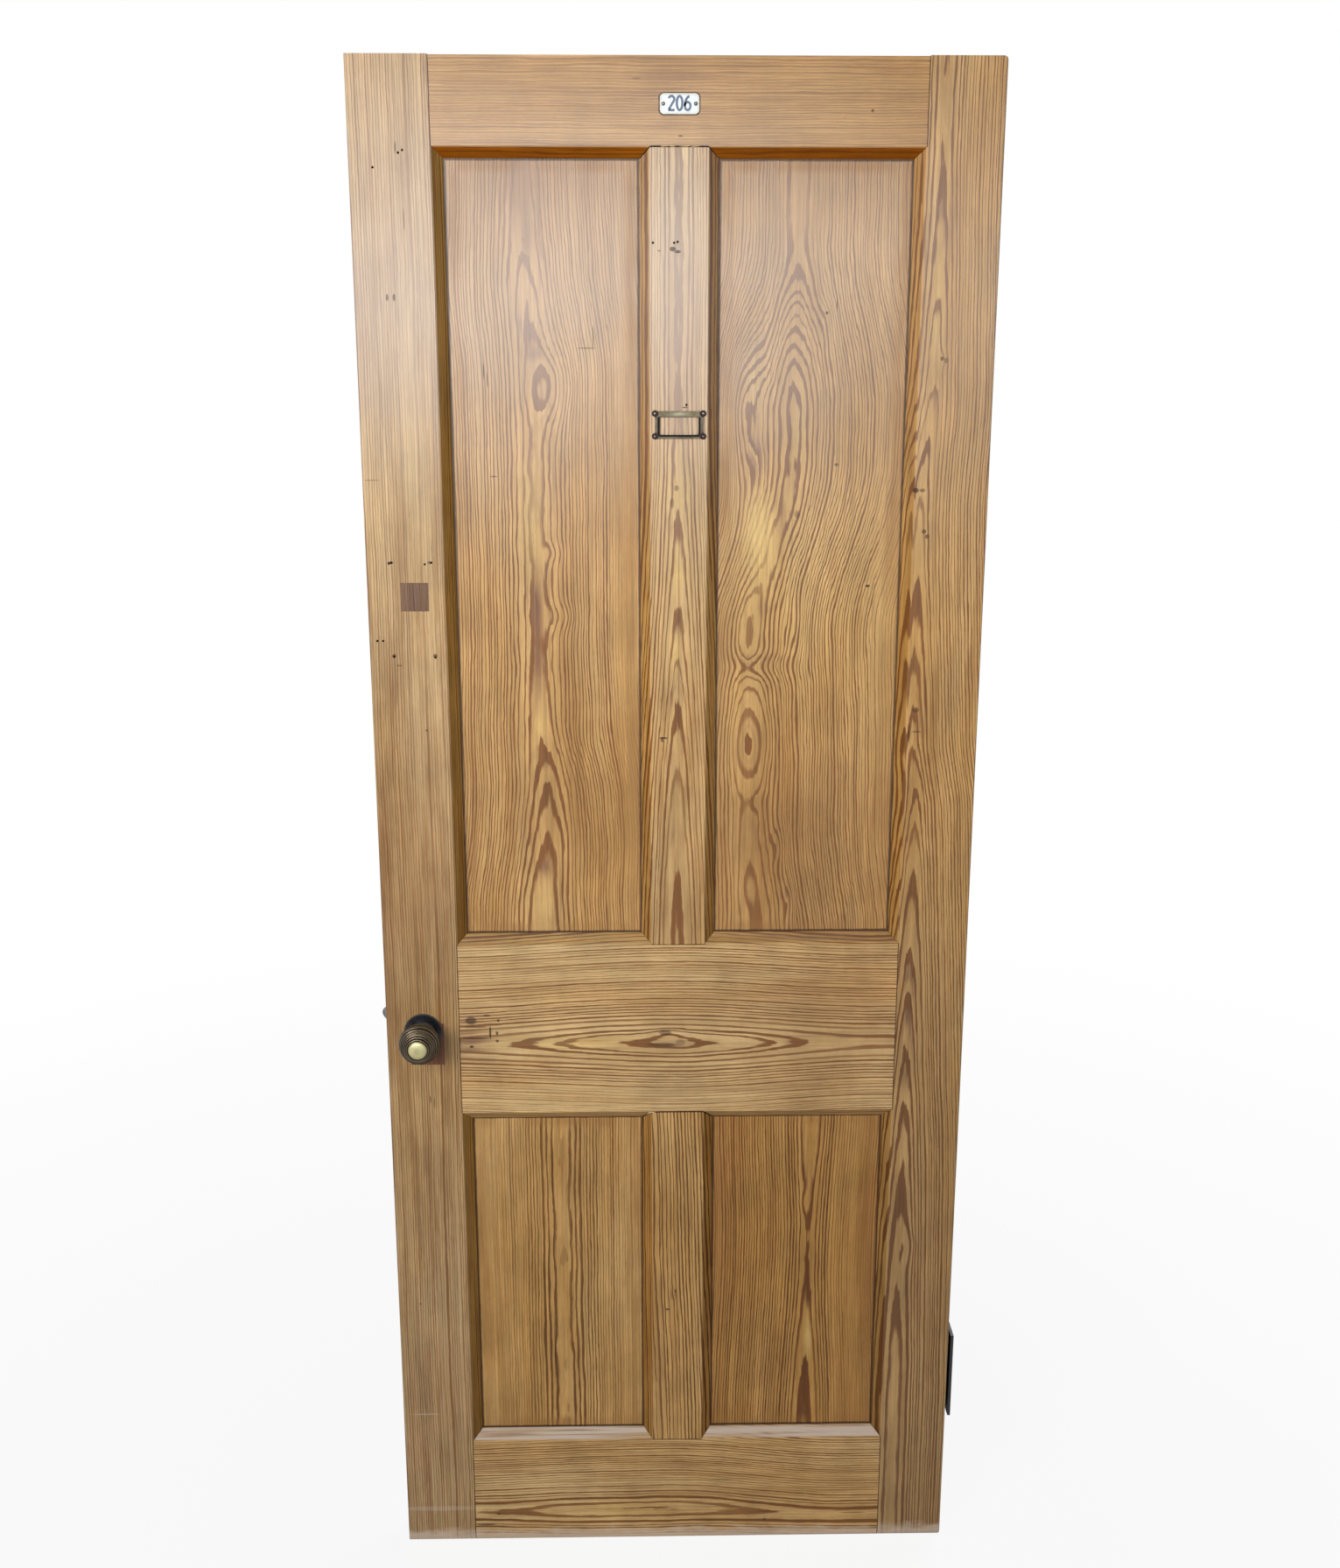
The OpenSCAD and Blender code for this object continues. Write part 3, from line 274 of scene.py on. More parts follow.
# Chamfer tints: old finish, darkened further as painted shade on the chamfers
VARNISH_AND_SHADE = srgb(208, 190, 132)
MUNTIN_VARNISH_AND_SHADE = srgb(192, 162, 58)
# Dark of dirt, dents and joints, also used for painted shade
GRIME_AND_SHADE = srgb(46, 28, 14)
# Grey of wear, also painted light on chamfers that face up
WORN_AND_LIT_GREY = srgb(216, 196, 178)
# Pale of scrapes and fresh wood, also the colour of the painted sheen
PALE_WEAR_AND_SHEEN = srgb(222, 204, 193)
STAIN = srgb(202, 182, 156)

# Values of a plain board, with places across and along its grain in metres.
# The pith is (across, depth), the ends are (from, to) along the grain.
# An opening is (left, right, low, high).
# Rises and bends are (from, to, change) along the grain.
# Swells, tints, pales, browns and plains are (across, along, reach across, reach along, amount).
# Marks and scrapes are (x, z, reach in x, reach in z, share).
PLAIN_BOARD = dict(
    level=False,
    face=FRONT,
    pith=(0.0, 0.06),
    bends=(),
    rises=(),
    lean=0.0,
    sway=0.002,
    spacing=0.0034,
    young=0.0,
    core=0.012,
    phase=0.0,
    wander=0.003,
    ripple=0.0010,
    jag=0.0011,
    contrast=1.05,
    late=0.5,
    early=(PALE_HONEY, HONEY),
    dark=LATE_BROWN,
    rust=0.10,
    swells=(),
    tints=(),
    pales=(),
    browns=(),
    plains=(),
    stain=0.42,
    marks=(),
    scrapes=(),
    grimy_plate=False,
    ends=None,
    opening=None,
    moulding=0.6,
    # Tint of the chamfers: old finish and painted shade
    varnish=VARNISH_AND_SHADE,
    # Share of grey wear on the chamfers, which also paints light on upward chamfers
    worn=0.0,
    # Share of the painted sheen over the upper half
    bleach=0.5,
    gloss=0.3,
    edge_gloss=0.3,
    # Share of colour left at the floor by the painted shade low on the door
    foot=0.9,
    seed=1.0,
)


def grain_place(finish, level):
    """Place on the board as across, depth and along, for upright or level grain."""
    x, y, z = finish.split(finish.object_place)
    if level:
        return finish.join(z, y, x)
    return finish.join(x, y, z)


def bells(finish, place, board, name):
    """Sum of one list of the board's bells, each with its own amount."""
    total = 0.0
    for across, along, across_reach, along_reach, amount in board[name]:
        bell = finish.spot(place, (across, board["face"], along), (across_reach, 0.02, along_reach))
        total = finish.plus(total, finish.times(bell, amount))
    return total


def share_of(finish, place, board, name):
    """Sum of one list of the board's bells, at most 1."""
    return finish.math("MINIMUM", bells(finish, place, board, name), 1.0)


def ramps(finish, along, board, name):
    """Sum of one list of the board's smooth changes along the grain."""
    total = 0.0
    for low, high, change in board[name]:
        total = finish.plus(total, finish.step(along, low, high, 0.0, change))
    return total


def ring_radius(finish, place, board):
    """Distance from the heart of the log, with the rise of its rings and the wander of real grain.

    The heart bends, leans and sways along the board. Swells push the rings out round a knot.
    """
    across, depth, along = finish.split(place)
    seed = board["seed"]
    sway = finish.swing(board["sway"], finish.noise(place, (0.0, 0.0, 3.1), seed, 1.0))
    lean = finish.math("MULTIPLY_ADD", along, board["lean"], board["pith"][0])
    middle = finish.plus(lean, sway, ramps(finish, along, board, "bends"))
    side = finish.math("SUBTRACT", across, middle)
    deep = finish.math("SUBTRACT", depth, board["pith"][1])
    radius = finish.vector("LENGTH", finish.join(side, deep, 0.0)).outputs["Value"]
    wander = finish.swing(board["wander"], finish.noise(place, (11.0, 11.0, 3.4), seed + 3.0, 1.0))
    ripple = finish.swing(board["ripple"], finish.noise(place, (55.0, 55.0, 16.0), seed + 7.0, 2.0))
    jag = finish.swing(board["jag"], finish.noise(place, (230.0, 230.0, 26.0), seed + 9.0, 3.0))
    rise = ramps(finish, along, board, "rises")
    return finish.plus(radius, rise, wander, ripple, jag, bells(finish, place, board, "swells"))


def year_rings(finish, place, board):
    """Share of dark late wood from the ring radius, and the ring's second half.

    Each ring darkens to its late wood and turns pale at once at the next year. The young rings round
    the heart are wide: the count of years lags by some rings, which build up over the core's width.
    """
    radius = ring_radius(finish, place, board)
    margin = HEART_MARGIN - (board["pith"][1] - board["face"])
    outwards = finish.plus(radius, margin)
    beyond = finish.math("MAXIMUM", outwards, 0.0)
    fade = finish.math("EXPONENT", finish.times(beyond, -1.0 / board["core"]))
    lag = finish.math("MULTIPLY_ADD", fade, board["young"], -board["young"])
    years = finish.plus(finish.math("DIVIDE", outwards, board["spacing"]), lag)
    uneven = finish.noise(finish.join(years, 0.0, 0.0), (0.37, 0.0, 0.0), board["seed"], 2.0)
    years = finish.plus(years, finish.swing(0.9, uneven), board["phase"])
    share = finish.math("FRACT", years)
    white = finish.add("ShaderNodeTexWhiteNoise")
    white.noise_dimensions = "1D"
    finish.put(white.inputs["W"], finish.plus(finish.math("FLOOR", years), board["seed"]))
    weight = finish.math("MULTIPLY_ADD", white.outputs["Value"], 0.5, 0.6)
    width = finish.math("MULTIPLY_ADD", white.outputs["Value"], 0.5 * board["late"], 0.75 * board["late"])
    low = finish.math("SUBTRACT", 1.0, width)
    rise = finish.step(share, low, finish.plus(low, 0.2))
    fall = finish.step(share, 1.0, 0.92)
    clouds = finish.noise(place, (14.0, 14.0, 1.6), board["seed"] + 5.0, 3.0)
    patchy = finish.step(clouds, 0.25, 0.75, 0.75, 1.2)
    late = finish.times(rise, fall, weight, patchy, board["contrast"])
    clear = share_of(finish, place, board, "plains")
    second_half = finish.times(finish.step(share, 0.1, 0.4), fall)
    return finish.times(late, finish.math("SUBTRACT", 1.0, clear)), second_half


def pine_colour(finish, board):
    """Base colour of the timber, and its late wood and fibres for gloss and relief."""
    place = grain_place(finish, board["level"])
    seed = board["seed"]
    late, second_half = year_rings(finish, place, board)
    tone = finish.step(finish.noise(place, (13.0, 13.0, 2.6), seed + 13.0, 3.0), 0.3, 0.7)
    colour = finish.mix(tone, board["early"][0], board["early"][1])
    blotch = finish.step(finish.noise(place, (7.0, 7.0, 3.0), seed + 15.0, 2.0), 0.5, 0.75)
    colour = finish.mix(finish.times(blotch, board["rust"]), colour, RUST)
    colour = finish.mix(share_of(finish, place, board, "pales"), colour, PALE_YELLOW)
    streak = finish.step(finish.noise(place, (120.0, 120.0, 9.0), seed + 21.0, 3.0), 0.25, 0.55)
    tint = share_of(finish, place, board, "tints")
    colour = finish.mix(finish.times(tint, streak, second_half), colour, HEART_BROWN)
    # Deep brown bells: tone patches, and on the upper panels a painted shadow under the top rail
    colour = finish.mix(share_of(finish, place, board, "browns"), colour, UMBER_AND_SHADE)
    old = finish.step(finish.noise(place, (75.0, 75.0, 4.5), seed + 27.0, 6.0, 0.72), 0.44, 0.64)
    stained = finish.mix(1.0, colour, STAIN, "MULTIPLY")
    colour = finish.mix(finish.times(old, board["stain"]), colour, stained)
    colour = finish.mix(late, colour, board["dark"])
    fibre = finish.noise(place, (900.0, 900.0, 14.0), seed + 17.0, 3.0, 0.6)
    strand = finish.noise(place, (260.0, 260.0, 5.0), seed + 23.0, 4.0, 0.65)
    patina = finish.noise(finish.object_place, (19.0, 19.0, 12.0), seed + 25.0, 4.0, 0.6)
    shade = finish.times(
        finish.step(fibre, 0.2, 0.8, 0.84, 1.12),
        finish.step(strand, 0.25, 0.75, 0.82, 1.14),
        finish.step(patina, 0.25, 0.75, 0.87, 1.11))
    colour = finish.shaded(colour, shade)
    fleck = finish.step(finish.noise(place, (1300.0, 1300.0, 90.0), seed + 19.0, 1.0), 0.64, 0.78)
    colour = finish.mix(finish.times(fleck, 0.35), colour, board["dark"])
    return colour, late, fibre


def bleached(finish, board, colour):
    """Colour with a painted sheen, pale over the upper half where the wax reflects the lights."""
    clouds = finish.noise(finish.object_place, (5.0, 5.0, 4.0), 50.0, 3.0)
    sheen_spot = finish.spot(finish.object_place, SHEEN_MIDDLE, SHEEN_REACH)
    share = finish.times(sheen_spot, finish.step(clouds, 0.25, 0.6, 0.7, 1.0), board["bleach"])
    return finish.mix(share, colour, PALE_WEAR_AND_SHEEN)


def shaded_low_and_scuffed(finish, board, colour):
    """Colour with painted shade that darkens it towards the floor, and a ragged grey bottom edge of wear."""
    z = finish.split(finish.object_place)[2]
    # Painted shade: darker towards the floor, down to the board's foot share
    low = finish.step(z, *LOW_SHADE_HEIGHTS, 1.0, board["foot"])
    colour = finish.shaded(colour, low)
    ragged = finish.swing(0.012, finish.noise(finish.object_place, (40.0, 40.0, 90.0), board["seed"], 3.0))
    share = finish.step(finish.plus(z, ragged), *FOOT_HEIGHTS, 0.0, 0.6)
    return finish.mix(share, colour, WORN_AND_LIT_GREY)


def marks(finish, board, colour):
    """Dark dents, holes and stains, and pale scrapes, on the board's front face."""
    for name, low, high, tone in (("marks", 0.25, 0.65, GRIME_AND_SHADE), ("scrapes", 0.15, 0.7, PALE_WEAR_AND_SHEEN)):
        for x, z, x_reach, z_reach, share in board[name]:
            bell = finish.spot(finish.object_place, (x, board["face"], z), (x_reach, 0.008, z_reach))
            colour = finish.mix(finish.times(finish.step(bell, low, high), share), colour, tone)
    return colour


def line_beside(finish, value, low, high, width):
    """Share of a dark line inside both ends of a range."""
    first = finish.step(value, low + width, low + 0.4 * width)
    last = finish.step(value, high - width, high - 0.4 * width)
    return finish.math("MAXIMUM", first, last)


def dirt_and_shade_lines(finish, board, colour):
    """Dark dirt at a board's shoulders and round the number plate; along and beside a panel's edges, dirt
    with painted shade of the gap and the frame.
    """
    x, y, z = finish.split(finish.object_place)
    ragged = finish.swing(0.0006, finish.noise(finish.object_place, 90.0, board["seed"], 2.0))
    x = finish.plus(x, ragged)
    z = finish.plus(z, ragged)
    if board["ends"]:
        line = line_beside(finish, x if board["level"] else z, *board["ends"], SHOULDER_LINE)
        colour = finish.mix(finish.times(line, 0.85), colour, GRIME_AND_SHADE)
    if board["opening"]:
        left, right, low, high = board["opening"]
        upright = line_beside(finish, x, left, right, PANEL_LINE)
        across = line_beside(finish, z, low, high, PANEL_LINE)
        clouds = finish.noise(finish.object_place, (24.0, 24.0, 9.0), board["seed"] + 2.0, 3.0)
        sides = line_beside(finish, x, left, right, PANEL_SIDE_BAND)
        ends = line_beside(finish, z, low, high, PANEL_END_BAND)
        beside = finish.math("MAXIMUM", sides, ends)
        # Beside the panel's edges: dirt, and painted shade near the frame
        colour = finish.mix(finish.times(beside, finish.step(clouds, 0.3, 0.7, 0.05, 0.5)), colour, UMBER_AND_SHADE)
        # Along the panel's edges: dirt, and painted shade of the gap under the chamfers
        colour = finish.mix(finish.times(finish.math("MAXIMUM", upright, across), 0.85), colour, GRIME_AND_SHADE)
    if board["grimy_plate"]:
        beyond = finish.rounded(x, z, PLATE_MIDDLE, PLATE_HALF, PLATE_CORNER)
        front = finish.step(y, 0.9 * FRONT, 0.98 * FRONT)
        line = finish.times(finish.step(beyond, *PLATE_DIRT, 0.0, 0.9), front)
        colour = finish.mix(line, colour, GRIME_AND_SHADE)
    return colour


def pine(name, **changes):
    """Waxed pitch pine for one board."""
    board = {**PLAIN_BOARD, **changes}
    finish = Finish(name)
    colour, late, fibre = pine_colour(finish, board)
    x, y, z = finish.split(finish.object_place)
    sunk = finish.step(finish.math("ABSOLUTE", y), *CHAMFER_DEPTHS)
    inner = finish.step(finish.math("ABSOLUTE", x), *INSIDE_EDGES)
    below_top = finish.step(z, *BELOW_TOP)
    chamfer = finish.times(sunk, inner, below_top)
    # Chamfers take a darker tint of old finish that also paints their shade
    varnished = finish.mix(1.0, colour, board["varnish"], "MULTIPLY")
    # Painted sheen: paler over the upper half, where the wax reflects the lights
    colour = bleached(finish, board, colour)
    colour = finish.mix(finish.times(chamfer, board["moulding"]), colour, varnished)
    # Grey on the chamfers: rubbed wear, with painted light where the chamfers face up
    rub = finish.noise(finish.object_place, (5.0, 60.0, 240.0), board["seed"], 3.0)
    rubbed = finish.step(rub, 0.36, 0.58, 0.3, 1.0)
    colour = finish.mix(finish.times(chamfer, rubbed, board["worn"]), colour, WORN_AND_LIT_GREY)
    colour = shaded_low_and_scuffed(finish, board, colour)
    colour = marks(finish, board, colour)
    colour = dirt_and_shade_lines(finish, board, colour)
    # Painted shade where the occlusion is low, in corners and gaps
    crevice = finish.step(finish.occlusion(0.012), 0.62, 0.2)
    colour = finish.mix(finish.times(crevice, 0.8), colour, GRIME_AND_SHADE)
    finish.set(Base_Color=colour)
    finish.set(Roughness=finish.step(fibre, 0.2, 0.8, 0.40, 0.30))
    edge_gloss = board["gloss"] * board["edge_gloss"]
    finish.set(Specular_IOR_Level=finish.step(chamfer, 0.0, 1.0, board["gloss"], edge_gloss))
    relief = finish.plus(finish.times(late, 0.6), fibre)
    finish.bump(relief, 0.00025, 0.5)
    return finish.material


def dress(node_name, material):
    """Gives a CAD node its material."""
    slots = nodes[node_name].data.materials
    slots.clear()
    slots.append(material)


def dress_pine(node_name, **changes):
    """Gives a board its own pine."""
    dress(node_name, pine(node_name + "_pine", **changes))


def stiles():
    """Lock stile with pale straight grain, and hinge stile with tall cathedrals beside straight grain."""
    dress_pine(
        "lock_stile", pith=(-0.12, 0.1), spacing=0.003, ripple=0.0005, contrast=0.9, moulding=0.95,
        seed=2.0, stain=0.65, early=(DULL_HONEY, DULL_GOLD), bleach=0.4,
        browns=((-0.335, 0.96, 0.08, 0.14, 0.4), (-0.335, 0.24, 0.08, 0.1, 0.3)),
        scrapes=((-0.335, 0.051, 0.06, 0.004, 0.18), (-0.35, 0.205, 0.02, 0.001, 0.3)),
        plains=((-0.31, 1.5, 0.03, 0.5, 0.4),), pales=((-0.335, 1.49, 0.07, 0.1, 0.35),),
        tints=((-0.375, 0.95, 0.008, 0.25, 0.5), (-0.355, 0.14, 0.02, 0.09, 0.5)),
        marks=(
            (-0.342, 1.713, 0.0018, 0.0045, 0.7), (-0.334, 1.713, 0.0018, 0.0045, 0.7),
            (-0.326, 1.88, 0.0012, 0.007, 0.6), (-0.319, 1.8, 0.0008, 0.013, 0.6),
            (-0.351, 1.4, 0.004, 0.002, 0.7), (-0.303, 1.4, 0.003, 0.002, 0.7),
            (-0.351, 1.284, 0.0028, 0.0028, 0.8), (-0.3, 1.284, 0.0028, 0.0028, 0.8),
            (-0.345, 1.272, 0.004, 0.0012, 0.5), (-0.314, 1.189, 0.0016, 0.0016, 0.7),
            (-0.37, 1.5, 0.01, 0.0009, 0.4), (-0.327, 0.685, 0.0012, 0.006, 0.5),
            (-0.322, 0.68, 0.001, 0.009, 0.5), (-0.351, 0.379, 0.0015, 0.0015, 0.7)))
    dress_pine(
        "hinge_stile", pith=(0.307, -0.008), rises=((0.15, 1.98, 0.07),), seed=5.0, foot=0.63,
        bends=((1.08, 1.18, -0.008), (1.45, 1.62, 0.011)), spacing=0.0036, young=2.0, core=0.01,
        wander=0.003, contrast=1.2, early=(HONEY, GOLD), bleach=0.4,
        swells=((0.318, 0.46, 0.01, 0.03, -0.004), (0.318, 1.64, 0.006, 0.008, -0.002)),
        tints=(
            (0.307, 0.8, 0.008, 0.12, 0.9), (0.315, 0.37, 0.006, 0.035, 0.7),
            (0.312, 1.595, 0.006, 0.03, 0.7), (0.305, 1.19, 0.006, 0.05, 0.7),
            (0.314, 1.9, 0.007, 0.02, 0.6), (0.314, 1.81, 0.012, 0.01, 0.6)),
        pales=((0.31, 1.72, 0.008, 0.1, 0.5),),
        marks=(
            (0.292, 1.487, 0.004, 0.0035, 0.8), (0.3, 1.487, 0.004, 0.0025, 0.6),
            (0.304, 1.437, 0.003, 0.003, 0.7), (0.308, 1.431, 0.003, 0.003, 0.7),
            (0.318, 1.643, 0.002, 0.003, 0.7), (0.323, 1.641, 0.002, 0.004, 0.5),
            (0.302, 1.213, 0.005, 0.0035, 0.5), (0.294, 1.185, 0.0015, 0.012, 0.7),
            (0.304, 1.185, 0.006, 0.0015, 0.5)))


def rails():
    """Top rail with faint level lines, lock rail with a knot in a long eye, bottom rail with a low wave."""
    rail_ends = (LOCK_FACE, HINGE_FACE)
    dress_pine(
        "top_rail", level=True, pith=(2.03, 0.05), spacing=0.0026, contrast=0.6, bleach=0.46,
        # The top rail's chamfer faces down: its orange tint is painted shade
        early=(GOLD, AMBER), moulding=1.0, varnish=srgb(196, 148, 22), grimy_plate=True, ends=rail_ends,
        seed=8.0, tints=((1.93, -0.03, 0.02, 0.05, 0.4), (1.96, 0.0, 0.03, 0.06, 0.4)),
        marks=(
            (0.226, 1.921, 0.002, 0.002, 0.7), (0.004, 1.893, 0.003, 0.001, 0.7),
            (-0.047, 1.955, 0.006, 0.001, 0.4)))
    dress_pine(
        "lock_rail", level=True, pith=(0.763, -0.004), ends=rail_ends, seed=11.0,
        rises=((-0.32, 0.0, -0.012), (0.0, 0.27, 0.012)), spacing=0.0038, young=2.0, wander=0.0012,
        ripple=0.0005, contrast=1.15, worn=0.1, moulding=0.8, phase=0.3, edge_gloss=1.0,
        browns=((0.77, 0.2, 0.12, 0.1, 0.35),),
        swells=((0.776, -0.01, 0.01, 0.02, -0.0035), (0.762, 0.01, 0.008, 0.016, -0.0015)),
        tints=(
            (0.779, -0.016, 0.006, 0.012, 0.9), (0.761, -0.012, 0.006, 0.025, 0.9),
            (0.763, 0.055, 0.003, 0.02, 0.9), (0.763, 0.165, 0.004, 0.016, 0.9),
            (0.775, -0.27, 0.03, 0.028, 0.9), (0.69, 0.0, 0.03, 0.05, 0.4)),
        pales=((0.765, -0.14, 0.01, 0.08, 0.6),),
        plains=((0.68, -0.1, 0.03, 0.3, 0.5), (0.87, -0.2, 0.03, 0.2, 0.4)),
        marks=(
            (-0.014, 0.778, 0.009, 0.004, 0.55), (-0.018, 0.761, 0.022, 0.0035, 0.45),
            (0.006, 0.764, 0.007, 0.005, 0.4), (-0.27, 0.797, 0.008, 0.006, 0.75),
            (-0.27, 0.76, 0.003, 0.002, 0.85), (-0.249, 0.804, 0.006, 0.0015, 0.8),
            (-0.234, 0.797, 0.002, 0.002, 0.85), (-0.245, 0.78, 0.0015, 0.01, 0.85),
            (-0.264, 0.788, 0.018, 0.0012, 0.7), (-0.264, 0.772, 0.02, 0.0015, 0.7),
            (-0.236, 0.779, 0.002, 0.003, 0.8), (-0.236, 0.768, 0.0025, 0.002, 0.8)))
    dress_pine(
        "bottom_rail", level=True, pith=(0.045, -0.006), ends=rail_ends, seed=14.0,
        rises=((-0.3, -0.1, -0.0045), (-0.04, 0.25, 0.0065)), bends=((0.0, 0.25, -0.012),), spacing=0.0036,
        young=1.5, wander=0.003, contrast=1.0, worn=1.0, gloss=0.15, edge_gloss=1.0, phase=0.45,
        pales=((0.045, -0.09, 0.012, 0.05, 0.6),),
        marks=(
            (-0.271, 0.023, 0.016, 0.0018, 0.7), (-0.252, 0.041, 0.003, 0.002, 0.6),
            (0.128, 0.027, 0.003, 0.002, 0.6), (0.135, 0.04, 0.02, 0.001, 0.6),
            (0.255, 0.036, 0.02, 0.0012, 0.5)))


def muntins():
    """Upper muntin with nested peaks below plain grain, lower muntin with straight stripes."""
    dress_pine(
        "upper_muntin", pith=(0.002, -0.008), rises=((0.84, 1.62, 0.03),), ends=UPPER_MUNTIN, seed=17.0,
        spacing=0.0036, young=2.0, core=0.01, wander=0.0022, contrast=1.2, bleach=0.56, stain=0.4,
        varnish=MUNTIN_VARNISH_AND_SHADE, browns=((0.002, 0.96, 0.06, 0.09, 0.35), (0.002, 1.12, 0.06, 0.06, 0.25)),
        plains=((0.0, 1.72, 0.06, 0.11, 0.3),),
        tints=(
            (0.016, 1.7, 0.016, 0.07, 0.6), (0.002, 1.33, 0.009, 0.016, 0.9),
            (-0.003, 1.235, 0.009, 0.022, 0.9), (0.002, 1.153, 0.009, 0.009, 0.9),
            (0.001, 1.045, 0.008, 0.018, 0.9), (-0.005, 0.95, 0.02, 0.02, 0.5),
            (0.0, 1.44, 0.015, 0.012, 0.5)),
        pales=(
            (-0.025, 1.7, 0.006, 0.13, 0.7), (0.03, 1.72, 0.005, 0.13, 0.6),
            (0.003, 1.385, 0.012, 0.022, 0.7), (-0.002, 1.29, 0.007, 0.02, 0.7),
            (0.004, 1.48, 0.03, 0.04, 0.6)),
        marks=(
            (-0.005, 1.768, 0.004, 0.003, 0.8), (0.001, 1.765, 0.004, 0.002, 0.8),
            (-0.021, 1.766, 0.002, 0.001, 0.6), (0.01, 1.586, 0.004, 0.001, 0.7),
            (0.012, 1.6, 0.0006, 0.05, 0.4), (-0.016, 1.178, 0.006, 0.0014, 0.8),
            (-0.018, 1.176, 0.002, 0.004, 0.7), (0.0, 1.49, 0.003, 0.004, 0.5),
            (-0.005, 1.472, 0.002, 0.007, 0.5), (0.003, 1.3, 0.0005, 0.14, 0.5)))
    dress_pine(
        "lower_muntin", pith=(-0.045, 0.01), lean=-0.03, spacing=0.0042, wander=0.004, ripple=0.0012,
        contrast=1.4, dark=LATE_DEEP, early=(HONEY, GOLD), gloss=0.18, varnish=MUNTIN_VARNISH_AND_SHADE,
        ends=LOWER_MUNTIN, seed=20.0,
        tints=((-0.02, 0.3, 0.008, 0.08, 0.5), (-0.003, 0.39, 0.006, 0.008, 0.7)),
        marks=((-0.011, 0.367, 0.003, 0.002, 0.7), (0.0, 0.395, 0.002, 0.003, 0.5)))


